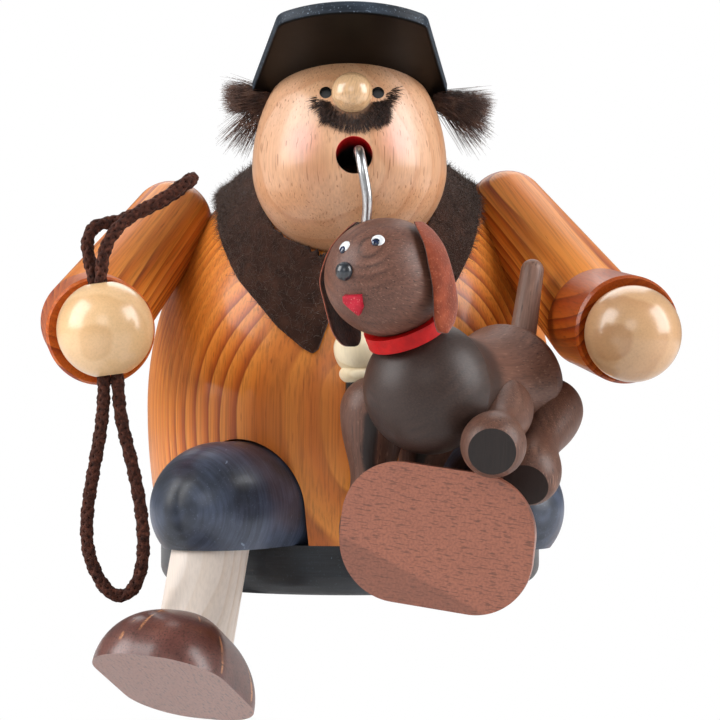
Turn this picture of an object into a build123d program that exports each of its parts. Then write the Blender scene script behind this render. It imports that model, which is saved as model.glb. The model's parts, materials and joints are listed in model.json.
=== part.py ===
"""Turned-wood incense smoker: a man in a cap sits on a shelf edge, his dog on one knee.

All sizes are in millimetres. The origin is the centre of the flat underside of the seat base,
+Z is up and the figure looks along -Y. The upper half lifts off for the incense cone.
"""
import os
from math import cos, pi, sin, sqrt, tan, radians
from build123d import *

# Jacket
jacket_radius = 43.9
jacket_belt_height = 38.0
jacket_dome = 57.0
jacket_belly = 2.9
cavity_wall = 10.9
cavity_dome = 32.0
cavity_start = 22.0
draught_hole_radius = 3.0
draught_hole_height = 27.0
arch_gap = 0.4
fit_gap = 0.3
seat_gap = 0.05
cut_over = 1.0

# Seat base
base_radius = jacket_radius - jacket_belly
base_height = 10.3
base_edge = 4.0
spigot_ledge = 5.0
spigot_radius = base_radius - spigot_ledge
spigot_height = 10.0
spigot_chamfer = 1.0

# Incense plate and its screw
plate_radius = 13.0
plate_thickness = 0.8
plate_lip = 1.0
recess_depth = 1.4
recess_gap = 0.5
screw_radius = 1.2
screw_length = 9.0
screw_head_radius = 2.4
screw_head_height = 1.3

# Legs
thigh_radius = 13.3
thigh_height = 18.2
knee_stand = 6.4
knee_length = 16.0
thigh_root = 2.4
right_leg_angle = 31.1
left_leg_angle = -35.3
thigh_dowel_radius = 3.0
thigh_dowel_depth = 10.0
dowel_end_gap = 0.5
shin_radius = 7.7
shin_socket_depth = 5.0
left_shin_start = 9.3
right_shin_from_knee = (-1.8, -2.9, -7.9)

# Shoes
shoe_length = 38.0
shoe_width = 27.0
shoe_height = 14.6
shoe_corner = 11.5
shoe_socket_depth = 5.0
shoe_rise_shares = (0.0, 0.3, 0.58, 0.8, 0.94)
right_sole_from_knee = (-8.0, -20.9, -33.9)
right_toe_way = (-0.291, -0.855, 0.428)
right_sole_normal = (0.187, 0.388, 0.902)
right_heel_share = 0.16
left_sole_from_knee = (-12.6, -38.9, -3.8)
left_toe_way = (-0.94, 0.3, 0.135)
left_sole_normal = (0.307, 0.948, 0.093)
left_heel_share = 0.0

# Head, placed by shares of the jacket's belt radius and dome
head_place_shares = (0.0, -0.729, 0.867)
head_radius = 20.0
head_chin = 18.3
head_crown = 26.7
head_tilt = 12.0
neck_tilt = 37.0
tenon_radius = 6.0
tenon_reach = 24.5
smoke_bore_radius = 3.0
smoke_bore_rise = 2.0
mouth_radius = 3.6
mouth_side = 1.0
mouth_rise = 1.5
mouth_slope = 15.0
mouth_depth = 20.0
eye_radius = 1.2
eye_seat = 10.6
eye_middle = 0.55
eye_spread = 5.25
eye_rise = 14.2
nose_radius = 4.1
nose_place_shares = (0.0275, -0.85, 0.6975)

# Moustache and hair
fur_lift = 2.4
fur_gap = 0.1
moustache_shares = ((-0.46, -0.08), (-0.4, -0.2), (-0.29, -0.35), (-0.11, -0.4), (0.06, -0.42),
                    (0.21, -0.37), (0.33, -0.26), (0.42, -0.1), (0.45, 0.04), (0.33, -0.06),
                    (0.2, -0.12), (-0.18, -0.12), (-0.32, -0.05))
right_tuft_length = 10.4
left_tuft_length = 12.0
tuft_root_height = 6.0
tuft_root_depth = 4.6
tuft_tip_height = 8.8
tuft_tip_depth = 5.6
tuft_end_share = 0.75
tuft_round = 1.6
tuft_root = 1.2
tuft_side = 17.0
tuft_back = 2.6
tuft_rise = 13.1
right_tuft_way = (-0.98, -0.05, 0.06)
left_tuft_way = (0.98, -0.05, -0.16)

# Cap
cap_tilt = 22.0
cap_angle = 1.3
cap_rise = 14.9
cap_offset = 1.8
cap_radius = 18.6
crown_radius = 18.2
crown_wall = 3.0
crown_height = 13.0
visor_reach = 36.8
visor_thickness = 2.8
visor_tip_half = 14.8
visor_tip_reach = 31.4
visor_root_half = 20.1
visor_root_reach = 3.2
visor_corner = 4.0
visor_edge = 0.6
cap_dowel_radius = 3.0
cap_dowel_depth = 6.0

# Felt collar, the edge of its right half in shares of the jacket's belt radius and dome
felt_thickness = 1.8
collar_back = 20.0
collar_back_height = 84.4
lapel_depth = 45.2
collar_edge_shares = ((-0.6, 1.06), (-0.585, 0.8), (-0.62, 0.739), (-0.622, 0.68), (-0.6, 0.61),
                      (-0.5, 0.452), (-0.315, 0.282), (-0.217, 0.218), (-0.168, 0.196),
                      (-0.139, 0.212), (-0.102, 0.292), (-0.05, 0.388), (0.0, 0.455))
collar_left_share = 0.97

# Arms, each shoulder placed by shares of the jacket's belt radius and dome
shoulder_radius = 8.7
elbow_radius = 10.4
cuff_radius = 10.8
cuff_rim = 0.5
cuff_round = 0.8
cuff_dish = 2.6
cuff_seat = 6.0
hand_radius = 9.5
hand_gap = 0.02
right_shoulder_shares = (-0.877, -0.114, 0.7)
right_elbow_from_shoulder = (-14.1, -30.0, -22.1)
right_cuff_from_elbow = (3.6, -20.2, -2.1)
right_hand_from_cuff = (1.3, -4.8, 0.3)
left_shoulder_shares = (0.774, -0.114, 0.739)
left_elbow_from_shoulder = (16.3, -30.0, -23.5)
left_cuff_from_elbow = (4.9, -20.1, -2.7)
left_hand_from_cuff = (0.4, -4.9, -0.8)
arm_dowel_radius = 2.0
arm_dowel_length = 12.0
hand_dowel_length = 11.0
leash_hole_radius = 3.0
leash_hole_lean = 7.5

# Pipe, its wire placed by shares of its drop: the upper bends from the mouth, the lower from the jacket
wire_radius = 1.0
wire_drop = 37.5
wire_mouth_shares = ((0.016, 0.644, 0.018), (0.026, -0.164, 0.018), (0.075, -0.148, -0.261))
wire_bowl_shares = ((0.013, 0.0, -0.763), (0.013, 0.0, -1.0))
pipe_stand = 5.1
wire_bend_shares = (0.133, 0.32, 0.267)
wire_hole_gap = 0.05
wire_sink = 3.0
bowl_radius = 4.6
bowl_rise = 4.0
bowl_drop = 5.4
bead_radius = 3.5
bead_height = 4.4
bead_overlap = 2.4
sump_radius = 2.3
sump_length = 2.3
sump_socket = 1.0
sump_edge = 0.4

# Dog's body and head
dog_rear_radius = 12.4
dog_front_radius = 12.7
dog_waist_radius = 9.8
dog_rear_from_knee = (1.3, -6.9, 24.6)
dog_front_from_rear = (-14.9, -27.0, -0.1)
dog_head_from_front = (-8.1, -8.5, 20.75)
dog_head_radius = 11.15
dog_muzzle = 13.0
dog_face_way = (-0.617, -0.785, 0.064)
dog_nose_radius = 1.75
dog_collar_radius = 8.1
dog_collar_height = 2.9
dog_collar_drop = 0.9
dog_peg_radius = 2.0
dog_peg_length = 16.0
dog_peg_sink = 7.5

# Dog's legs: the lobe that carries each, its place in shares of that lobe's radius, and its way
dog_leg_length = 35.0
dog_thigh_radius = 6.6
dog_ankle_radius = 4.3
dog_paw_radius = 6.1
dog_sole_radius = 4.45
dog_ankle_share = 0.63
dog_paw_share = 0.9
dog_leg_place_shares = {
    "dog_leg_front_left": ("rear", (-0.085, -1.29, -0.363), (-0.098, -0.963, -0.253)),
    "dog_leg_front_right": ("front", (-0.832, 1.02, -0.345), (-0.028, 0.114, -0.993)),
    "dog_leg_rear_left": ("rear", (0.8, 0.08, -0.403), (-0.225, -0.843, -0.484)),
    "dog_leg_rear_right": ("rear", (-1.06, -0.43, -0.363), (-0.271, 0.196, -0.942)),
}

# Dog's tail, ears and tongue
dog_tail_from_rear = (4.9, 6.0, 11.4)
dog_tail_way = (0.15, 0.12, 0.98)
dog_tail_length = 14.5
dog_tail_radius = 2.75
dog_tail_tip_radius = 2.35
dog_tail_socket = 3.0
ear_thickness = 1.2
ear_gap = 0.25
ear_width = 8.0
ear_root_width = 3.4
ear_top = 11.4
ear_bottom = 11.2
right_ear_back = 1.2
left_ear_back = 0.6
tongue_length = 4.4
tongue_width = 3.8
tongue_thickness = 1.0
tongue_way = (-0.5, -0.77, -0.4)
tongue_outline_shares = ((-0.5, 0.3), (0.42, 0.5), (0.5, -0.08), (0.3, -0.5), (-0.5, 0.02))

# Leash cord through the right hand
cord_radius = 1.25
cord_bend_share = 0.45
lower_route = ((-48.1, -60.0, 49.0), (-47.8, -60.0, 42.6), (-48.4, -60.1, 34.8), (-49.9, -60.3, 26.6),
               (-51.3, -60.5, 18.0), (-51.2, -60.6, 10.6), (-48.6, -60.7, 4.5), (-45.8, -60.8, 1.7),
               (-42.6, -60.8, 2.3), (-40.6, -60.7, 6.2), (-40.0, -60.5, 12.4), (-40.8, -60.3, 20.2),
               (-42.6, -60.1, 28.6), (-44.6, -60.0, 36.2), (-45.2, -60.0, 42.6), (-45.55, -60.0, 49.0))
upper_route = ((-49.0, -58.8, 56.5), (-49.6, -59.0, 62.4), (-50.9, -59.0, 67.6), (-51.5, -58.8, 71.4),
               (-50.0, -58.0, 74.6), (-46.2, -56.6, 75.1), (-41.6, -54.8, 77.0), (-36.0, -53.4, 79.9),
               (-32.2, -52.6, 82.8), (-30.5, -55.9, 84.1), (-32.1, -59.1, 82.8), (-36.0, -59.7, 79.7),
               (-40.4, -60.4, 77.4), (-44.4, -61.0, 74.8), (-47.2, -61.4, 71.0), (-48.3, -61.5, 66.6),
               (-48.4, -61.4, 61.8), (-48.4, -61.35, 56.5))

os.makedirs("parts", exist_ok=True)
X_WAY = Vector(1, 0, 0)
UP = Vector(0, 0, 1)


def save(piece, label):
    """Give a finished piece its name and write it out."""
    piece.part.label = label
    export_step(piece.part, f"parts/{label}.step")


def turning_plane(foot, way, side=X_WAY):
    """A sketch plane with its local Y along a turning axis and its origin on the axis."""
    axis = Vector(*way).normalized()
    square = (side - axis * side.dot(axis)).normalized()
    return Plane(origin=Vector(*foot), x_dir=square, z_dir=square.cross(axis))


def axis_of(plane):
    return Axis(plane.origin, plane.y_dir)


def facing_plane(origin, way, x_way=X_WAY):
    """A sketch plane that faces along a direction."""
    normal = Vector(*way).normalized()
    x_dir = (x_way - normal * x_way.dot(normal)).normalized()
    return Plane(origin=Vector(*origin), x_dir=x_dir, z_dir=normal)


def way_between(start, end):
    return (Vector(*end) - Vector(*start)).normalized()


def quarter_ellipse(height, radius, rise):
    """A quarter of an ellipse from its widest point to its pole on the turning axis."""
    Bezier((radius, height), (radius, height + rise), (0, height + rise), weights=(1, sqrt(1 / 2), 1))


def place_from(origin, step):
    return Vector(*origin) + Vector(*step)


def share_place(shares, middle, width, height):
    """A place given in shares: sideways and forwards of a width, upwards of a height."""
    return Vector(*middle) + Vector(shares[0] * width, shares[1] * width, shares[2] * height)


# Leg directions seen from above: each thigh lies on a radius of the base
def leg_way(turn):
    return Vector(-sin(radians(turn)), -cos(radians(turn)), 0)


legs = {"right": leg_way(right_leg_angle), "left": leg_way(left_leg_angle)}
thigh_reach = jacket_radius + knee_stand
knees = {side: way * thigh_reach + UP * thigh_height for side, way in legs.items()}
spigot_bore = spigot_radius + fit_gap
cavity_radius = jacket_radius - cavity_wall
base_top = base_height + spigot_height

# The head's turning axis leans back, the neck's axis leans forward
belt_point = UP * jacket_belt_height
head_point = share_place(head_place_shares, belt_point, jacket_radius, jacket_dome)
head_way = Vector(0, sin(radians(head_tilt)), cos(radians(head_tilt)))
neck_way = Vector(0, sin(radians(neck_tilt)), -cos(radians(neck_tilt)))
head_plane = turning_plane(head_point, head_way)
nose_point = share_place(nose_place_shares, head_point, head_radius, head_radius)
mouth_point = place_from(head_point, (mouth_side, -head_radius, mouth_rise))
mouth_way = Vector(0, cos(radians(mouth_slope)), -sin(radians(mouth_slope)))
pipe_point = Vector(mouth_point.X, -jacket_radius - pipe_stand, mouth_point.Z)
wire_route = [share_place(shares, mouth_point, wire_drop, wire_drop) for shares in wire_mouth_shares]
wire_route += [share_place(shares, pipe_point, wire_drop, wire_drop) for shares in wire_bowl_shares]
bowl_top = wire_route[-1].Z + wire_sink

# The cap leans back and is turned a little on the head
cap_way = Vector(0, sin(radians(cap_tilt)), cos(radians(cap_tilt)))
cap_front = Vector(0, -cos(radians(cap_tilt)), sin(radians(cap_tilt)))
cap_origin = head_point + cap_way * cap_rise + cap_front * cap_offset
cap_side = X_WAY * cos(radians(cap_angle)) + cap_way.cross(X_WAY) * sin(radians(cap_angle))
cap_plane = Plane(origin=cap_origin, x_dir=cap_side, z_dir=cap_way)


def ovoid(growth):
    """The head's turned form, grown by a given amount on all sides."""
    with BuildPart(mode=Mode.PRIVATE) as form:
        with BuildSketch(head_plane):
            with BuildLine():
                quarter_ellipse(0, head_radius + growth, -head_chin - growth)
                quarter_ellipse(0, head_radius + growth, head_crown + growth)
                Line((0, head_crown + growth), (0, -head_chin - growth))
            make_face()
        revolve(axis=axis_of(head_plane))
    return form.part


def jacket_form(growth):
    """The jacket's turned outer form, grown by a given amount above its foot."""
    belt = jacket_radius + growth
    with BuildPart(mode=Mode.PRIVATE) as form:
        with BuildSketch(Plane.XZ):
            with BuildLine():
                TangentArc((belt, jacket_belt_height), (base_radius + growth, base_height), tangent=(0, -1))
                quarter_ellipse(jacket_belt_height, belt, jacket_dome + growth)
                Line((0, jacket_belt_height + jacket_dome + growth), (0, base_height))
                Line((0, base_height), (base_radius + growth, base_height))
            make_face()
        revolve(axis=Axis.Z)
    return form.part


# Seat base: a turned disc with a spigot that centres the jacket
thigh_dowel_height = base_height + spigot_height / 2
with BuildPart() as seat_base:
    with BuildSketch(Plane.XZ):
        with BuildLine():
            Line((0, 0), (base_radius - base_edge, 0))
            RadiusArc((base_radius - base_edge, 0), (base_radius, base_edge), -base_edge)
            Line((base_radius, base_edge), (base_radius, base_height))
            Line((base_radius, base_height), (spigot_radius, base_height))
            Line((spigot_radius, base_height), (spigot_radius, base_top - spigot_chamfer))
            Line((spigot_radius, base_top - spigot_chamfer), (spigot_radius - spigot_chamfer, base_top))
            Line((spigot_radius - spigot_chamfer, base_top), (0, base_top))
            Line((0, base_top), (0, 0))
        make_face()
    revolve(axis=Axis.Z)
    with BuildSketch(Plane.XY.offset(base_top)):
        Circle(plate_radius + recess_gap)
    extrude(amount=-recess_depth, mode=Mode.SUBTRACT)
    with BuildSketch(Plane.XY.offset(base_top)):
        Circle(screw_radius)
    extrude(amount=-recess_depth - screw_length, mode=Mode.SUBTRACT)
    for way in legs.values():
        hole_end = way * (spigot_radius - thigh_dowel_depth) + UP * thigh_dowel_height
        with BuildSketch(facing_plane(hole_end, way)):
            Circle(thigh_dowel_radius)
        extrude(amount=thigh_dowel_depth + cut_over, mode=Mode.SUBTRACT)
save(seat_base, "seat_base")

# Incense plate: a pressed disc with a lip, held by one countersunk screw
plate_floor = base_top - recess_depth
with BuildPart() as incense_plate:
    with BuildSketch(Plane.XZ):
        with BuildLine():
            Polyline((screw_radius, plate_floor), (plate_radius, plate_floor),
                     (plate_radius, plate_floor + plate_thickness + plate_lip),
                     (plate_radius - plate_thickness, plate_floor + plate_thickness + plate_lip),
                     (plate_radius - plate_thickness, plate_floor + plate_thickness),
                     (screw_radius, plate_floor + plate_thickness), close=True)
        make_face()
    revolve(axis=Axis.Z)
save(incense_plate, "incense_plate")

screw_seat = plate_floor + plate_thickness
with BuildPart() as plate_screw:
    with BuildSketch(Plane.XZ):
        with BuildLine():
            Line((0, plate_floor - screw_length), (screw_radius, plate_floor - screw_length + screw_radius))
            Line((screw_radius, plate_floor - screw_length + screw_radius), (screw_radius, screw_seat))
            Line((screw_radius, screw_seat), (screw_head_radius, screw_seat))
            quarter_ellipse(screw_seat, screw_head_radius, screw_head_height)
            Line((0, screw_seat + screw_head_height), (0, plate_floor - screw_length))
        make_face()
    revolve(axis=Axis.Z)
save(plate_screw, "plate_screw")


# Legs: the shins run from the knees to the ankles, which stand on the soles
shoe_places = {"right": place_from(knees["right"], right_sole_from_knee),
               "left": place_from(knees["left"], left_sole_from_knee)}
toe_ways = {"right": Vector(*right_toe_way), "left": Vector(*left_toe_way)}
sole_normals = {"right": Vector(*right_sole_normal).normalized(),
                "left": Vector(*left_sole_normal).normalized()}
ankles = {"right": shoe_places["right"] - toe_ways["right"] * shoe_length * right_heel_share,
          "left": shoe_places["left"] - toe_ways["left"] * shoe_length * left_heel_share}
right_shin_top = place_from(knees["right"], right_shin_from_knee)
shin_ways = {"right": way_between(right_shin_top, ankles["right"]),
             "left": way_between(knees["left"], ankles["left"])}
shin_starts = {"right": right_shin_top - shin_ways["right"] * shin_socket_depth,
               "left": knees["left"] + shin_ways["left"] * left_shin_start}
dog_rear = place_from(knees["left"], dog_rear_from_knee)
dog_peg_foot = Vector(dog_rear.X, dog_rear.Y, thigh_height + thigh_radius - dog_peg_sink)


def peg_form():
    """The peg that holds the dog on the man's left knee."""
    with BuildPart(mode=Mode.PRIVATE) as form:
        with BuildSketch(Plane(origin=dog_peg_foot)):
            Circle(dog_peg_radius)
        extrude(amount=dog_peg_length)
    return form.part


def thigh_form(side, growth):
    """A turned thigh with a long round knee, grown by a given amount."""
    plane = turning_plane(UP * thigh_height, legs[side], UP)
    inner = spigot_radius - thigh_root
    outer = thigh_radius + growth
    with BuildPart(mode=Mode.PRIVATE) as form:
        with BuildSketch(plane):
            with BuildLine():
                Line((0, inner), (outer, inner))
                Line((outer, inner), (outer, thigh_reach))
                quarter_ellipse(thigh_reach, outer, knee_length + growth)
                Line((0, thigh_reach + knee_length + growth), (0, inner))
            make_face()
        revolve(axis=axis_of(plane))
    return form.part


def thigh(side):
    """A thigh on a radius of the base, sawn flat below and hollowed to meet the base's spigot."""
    with BuildPart() as piece:
        add(thigh_form(side, 0))
        split(bisect_by=Plane.XY.offset(base_height), keep=Keep.TOP)
        with BuildSketch(Plane.XY.offset(base_height)):
            Circle(spigot_radius)
        extrude(amount=thigh_height + thigh_radius, mode=Mode.SUBTRACT)
        add(thigh_dowel(side).part, mode=Mode.SUBTRACT)
        with BuildSketch(facing_plane(shin_starts[side], shin_ways[side])):
            Circle(shin_radius)
        extrude(amount=knee_length + thigh_radius, mode=Mode.SUBTRACT)
        if side == "left":
            add(peg_form(), mode=Mode.SUBTRACT)
    return piece


def thigh_dowel(side):
    way = legs[side]
    start = way * (spigot_radius - thigh_dowel_depth + dowel_end_gap) + UP * thigh_dowel_height
    with BuildPart(mode=Mode.PRIVATE) as piece:
        with BuildSketch(facing_plane(start, way)):
            Circle(thigh_dowel_radius)
        extrude(amount=thigh_dowel_depth + thigh_dowel_depth - dowel_end_gap)
    return piece


def shin(side):
    """A plain turned shin between its socket in the knee and its socket in the shoe."""
    way = shin_ways[side]
    lean = -way.dot(sole_normals[side])
    length = (ankles[side] - shin_starts[side]).length - (shoe_height - shoe_socket_depth) / lean
    with BuildPart(mode=Mode.PRIVATE) as piece:
        with BuildSketch(facing_plane(shin_starts[side], way)):
            Circle(shin_radius)
        extrude(amount=length)
    return piece


def shoe(side):
    """A domed shoe: rounded oblong outlines shrink along a quarter ellipse above a flat sole."""
    plane = facing_plane(shoe_places[side], sole_normals[side], toe_ways[side])
    with BuildPart() as piece:
        for share in shoe_rise_shares:
            size = sqrt(1 - share * share)
            with BuildSketch(plane.offset(shoe_height * share)):
                RectangleRounded(shoe_length * size, shoe_width * size, shoe_corner * size)
        loft()
        add(shin(side).part, mode=Mode.SUBTRACT)
    return piece


for side in legs:
    save(thigh(side), f"{side}_thigh")
    save(thigh_dowel(side), f"{side}_thigh_dowel")
    save(shin(side), f"{side}_shin")
    save(shoe(side), f"{side}_shoe")

# Arms: shoulder, elbow, end of the cuff and centre of the hand
def arm_points(shoulder_shares, *steps):
    points = [share_place(shoulder_shares, belt_point, jacket_radius, jacket_dome)]
    for step in steps:
        points.append(place_from(points[-1], step))
    return points


arms = {
    "right": arm_points(right_shoulder_shares, right_elbow_from_shoulder, right_cuff_from_elbow,
                        right_hand_from_cuff),
    "left": arm_points(left_shoulder_shares, left_elbow_from_shoulder, left_cuff_from_elbow,
                       left_hand_from_cuff),
}


def shoulder_dowel(side):
    """A dowel that runs level from the jacket's wall into the upper arm."""
    shoulder = arms[side][0]
    way = Vector(shoulder.X, shoulder.Y, 0).normalized()
    with BuildPart(mode=Mode.PRIVATE) as piece:
        with BuildSketch(facing_plane(shoulder - way * (arm_dowel_length + shoulder_radius) / 2, way)):
            Circle(arm_dowel_radius)
        extrude(amount=arm_dowel_length)
    return piece


# Jacket: turned outside, hollow inside, arched over both thighs
with BuildPart() as jacket:
    add(jacket_form(0))
    with BuildSketch(Plane.XZ):
        with BuildLine():
            Line((0, 0), (spigot_bore, 0))
            Line((spigot_bore, 0), (spigot_bore, base_top + fit_gap))
            Line((spigot_bore, base_top + fit_gap), (cavity_radius, cavity_start))
            Line((cavity_radius, cavity_start), (cavity_radius, jacket_belt_height))
            quarter_ellipse(jacket_belt_height, cavity_radius, cavity_dome)
            Line((0, jacket_belt_height + cavity_dome), (0, 0))
        make_face()
    revolve(axis=Axis.Z, mode=Mode.SUBTRACT)
    for way in legs.values():
        arch = thigh_radius + arch_gap
        with BuildSketch(facing_plane(UP * thigh_height, way, UP.cross(way))):
            Circle(arch)
            Rectangle(arch + arch, thigh_height, align=(Align.CENTER, Align.MAX))
        extrude(amount=jacket_radius + arch, mode=Mode.SUBTRACT)
    add(ovoid(seat_gap), mode=Mode.SUBTRACT)
    with BuildSketch(facing_plane(head_point, neck_way)):
        Circle(tenon_radius + seat_gap)
    extrude(amount=tenon_reach + tenon_radius, mode=Mode.SUBTRACT)
    with BuildSketch(Plane.XZ.offset(-jacket_radius - cut_over)):
        with Locations((0, draught_hole_height)):
            Circle(draught_hole_radius)
    extrude(amount=jacket_radius, mode=Mode.SUBTRACT)
    for side in arms:
        add(shoulder_dowel(side).part, mode=Mode.SUBTRACT)
save(jacket, "jacket")

# Head: one turned ovoid with a bored tenon, a mouth bore that meets it and two drilled eyes
with BuildPart() as head:
    add(ovoid(0))
    with BuildSketch(facing_plane(head_point, neck_way)):
        Circle(tenon_radius)
    extrude(amount=tenon_reach)
    split(bisect_by=cap_plane, keep=Keep.BOTTOM)
    with BuildSketch(facing_plane(head_point - neck_way * smoke_bore_rise, neck_way)):
        Circle(smoke_bore_radius)
    extrude(amount=smoke_bore_rise + tenon_reach + cut_over, mode=Mode.SUBTRACT)
    with BuildSketch(facing_plane(mouth_point - mouth_way * mouth_radius, mouth_way)):
        Circle(mouth_radius)
    extrude(amount=mouth_radius + mouth_depth, mode=Mode.SUBTRACT)
    with BuildSketch(Plane.XZ.offset(eye_seat - head_point.Y)):
        with Locations((eye_middle - eye_spread, head_point.Z + eye_rise),
                       (eye_middle + eye_spread, head_point.Z + eye_rise)):
            Circle(eye_radius)
    extrude(amount=head_radius, mode=Mode.SUBTRACT)
    with Locations(nose_point):
        Sphere(nose_radius, mode=Mode.SUBTRACT)
    with BuildSketch(cap_plane):
        Circle(cap_dowel_radius)
    extrude(amount=-cap_dowel_depth, mode=Mode.SUBTRACT)
    with BuildSketch(facing_plane(wire_route[0], way_between(wire_route[0], wire_route[1]))):
        Circle(wire_radius + wire_hole_gap)
    extrude(amount=head_radius, mode=Mode.SUBTRACT)
save(head, "head")

# Nose: a small turned ball in a drilled seat
with BuildPart() as nose:
    with Locations(nose_point):
        Sphere(nose_radius)
save(nose, "nose")

# Moustache: a crescent of fur that follows the face
moustache_outline = [(nose_point.X + head_radius * side, nose_point.Z + head_radius * rise)
                     for side, rise in moustache_shares]
with BuildPart() as moustache:
    with BuildSketch(Plane.XZ.offset(-head_point.Y)):
        with BuildLine():
            Spline(*moustache_outline, periodic=True)
        make_face()
    extrude(amount=head_radius + head_radius)
    add(ovoid(fur_lift), mode=Mode.INTERSECT)
    add(ovoid(fur_gap), mode=Mode.SUBTRACT)
    with Locations(nose_point):
        Sphere(nose_radius + fur_gap, mode=Mode.SUBTRACT)
save(moustache, "moustache")


def visor_face():
    """The visor's outline: two sawn sides and a curved front, joined to the cap's circle."""
    with BuildSketch(mode=Mode.PRIVATE) as face:
        with BuildLine():
            Line((-visor_root_half, -visor_root_reach), (-visor_tip_half, -visor_tip_reach))
            ThreePointArc((-visor_tip_half, -visor_tip_reach), (0, -visor_reach),
                          (visor_tip_half, -visor_tip_reach))
            Line((visor_tip_half, -visor_tip_reach), (visor_root_half, -visor_root_reach))
            Line((visor_root_half, -visor_root_reach), (-visor_root_half, -visor_root_reach))
        make_face()
        fillet(vertices().group_by(Axis.Y)[0], visor_corner)
        Circle(cap_radius)
    return face.sketch


def cap_blank(growth):
    """The cap's space, grown by a given amount, for what lies against it."""
    with BuildPart(mode=Mode.PRIVATE) as form:
        with BuildSketch(cap_plane.offset(-growth)):
            add(visor_face())
            offset(amount=growth)
        extrude(amount=visor_thickness + growth + growth)
        with BuildSketch(cap_plane):
            Circle(cap_radius + growth)
        extrude(amount=crown_height)
    return form.part


def hair_tuft(side, way, length):
    """A brush of fur that starts narrow at the head and spreads towards its blunt end."""
    root = head_point + Vector(side * tuft_side, tuft_back, tuft_rise)
    plane = facing_plane(root, way, UP)
    with BuildPart() as piece:
        with BuildSketch(plane.offset(-tuft_root)):
            Ellipse(tuft_root_height / 2, tuft_root_depth / 2)
        with BuildSketch(plane.offset(length - tuft_round)):
            Ellipse(tuft_tip_height / 2, tuft_tip_depth / 2)
        with BuildSketch(plane.offset(length)):
            Ellipse(tuft_tip_height * tuft_end_share / 2, tuft_tip_depth * tuft_end_share / 2)
        loft(ruled=True)
        add(ovoid(fur_gap), mode=Mode.SUBTRACT)
        add(cap_blank(fur_gap), mode=Mode.SUBTRACT)
    return piece


save(hair_tuft(-1, right_tuft_way, right_tuft_length), "right_hair_tuft")
save(hair_tuft(1, left_tuft_way, left_tuft_length), "left_hair_tuft")

# Cap visor: a turned disc sawn off at the sides, so that only the peak is left
with BuildPart() as cap_visor:
    with BuildSketch(cap_plane):
        add(visor_face())
    extrude(amount=visor_thickness)
    rims = edges().filter_by(Axis(cap_origin, cap_way), reverse=True)
    front_rims = rims.filter_by(lambda rim: (rim.center() - cap_origin).dot(cap_front) > cap_radius / 2)
    fillet(front_rims, visor_edge)
    with BuildSketch(cap_plane):
        Circle(cap_dowel_radius)
    extrude(amount=visor_thickness, mode=Mode.SUBTRACT)
save(cap_visor, "cap_visor")

# Cap crown: a low turned dome on the visor disc
with BuildPart() as cap_crown:
    crown_plane = turning_plane(cap_origin + cap_way * visor_thickness, cap_way)
    with BuildSketch(crown_plane):
        with BuildLine():
            Line((0, 0), (crown_radius, 0))
            Line((crown_radius, 0), (crown_radius, crown_wall))
            quarter_ellipse(crown_wall, crown_radius, crown_height - crown_wall)
            Line((0, crown_height), (0, 0))
        make_face()
    revolve(axis=axis_of(crown_plane))
    with BuildSketch(cap_plane.offset(visor_thickness)):
        Circle(cap_dowel_radius)
    extrude(amount=cap_dowel_depth, mode=Mode.SUBTRACT)
save(cap_crown, "cap_crown")

with BuildPart() as cap_dowel:
    with BuildSketch(cap_plane.offset(-cap_dowel_depth + dowel_end_gap)):
        Circle(cap_dowel_radius)
    extrude(amount=cap_dowel_depth + cap_dowel_depth + visor_thickness - dowel_end_gap - dowel_end_gap)
save(cap_dowel, "cap_dowel")


def collar_form(growth):
    """The felt collar's space: two lapels in front and a band over the shoulders behind."""
    right_edge = [(side * jacket_radius, jacket_belt_height + rise * jacket_dome)
                  for side, rise in collar_edge_shares]
    left_edge = [(-side * collar_left_share, rise) for side, rise in right_edge]
    with BuildPart(mode=Mode.PRIVATE) as form:
        with BuildSketch(Plane.XZ):
            with BuildLine():
                Spline(*right_edge)
                Spline(*left_edge)
                Line(right_edge[0], left_edge[0])
            make_face()
        extrude(amount=lapel_depth)
        with BuildSketch(Plane.XY.offset(collar_back_height)):
            Rectangle(jacket_radius + jacket_radius, collar_back, align=(Align.CENTER, Align.MIN))
        extrude(amount=jacket_dome)
        add(jacket_form(fur_gap + felt_thickness + growth), mode=Mode.INTERSECT)
        add(jacket_form(fur_gap - growth), mode=Mode.SUBTRACT)
    return form.part


# Felt collar: a cut sheet of felt laid over the shoulders, with two lapels in front
with BuildPart() as felt_collar:
    add(collar_form(0))
    add(ovoid(fit_gap), mode=Mode.SUBTRACT)
    add(cap_blank(fur_gap), mode=Mode.SUBTRACT)
save(felt_collar, "felt_collar")


def mitre(side):
    """The plane through the elbow that halves the bend of the arm."""
    shoulder, elbow, cuff, hand = arms[side]
    return facing_plane(elbow, (elbow - shoulder).normalized() + (cuff - elbow).normalized())


def upper_arm(side):
    """A turned cone with a round shoulder end, hollowed to lie on the jacket."""
    shoulder, elbow, cuff, hand = arms[side]
    plane = turning_plane(shoulder, elbow - shoulder)
    length = (elbow - shoulder).length
    with BuildPart() as piece:
        with BuildSketch(plane):
            with BuildLine():
                Line((0, -shoulder_radius), (0, length + elbow_radius))
                Line((0, length + elbow_radius), (elbow_radius, length + elbow_radius))
                Line((elbow_radius, length + elbow_radius), (elbow_radius, length))
                Line((elbow_radius, length), (shoulder_radius, 0))
                RadiusArc((shoulder_radius, 0), (0, -shoulder_radius), shoulder_radius)
            make_face()
        revolve(axis=axis_of(plane))
        split(bisect_by=mitre(side), keep=Keep.BOTTOM)
        add(jacket_form(seat_gap), mode=Mode.SUBTRACT)
        add(collar_form(seat_gap), mode=Mode.SUBTRACT)
        add(shoulder_dowel(side).part, mode=Mode.SUBTRACT)
    return piece


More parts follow.
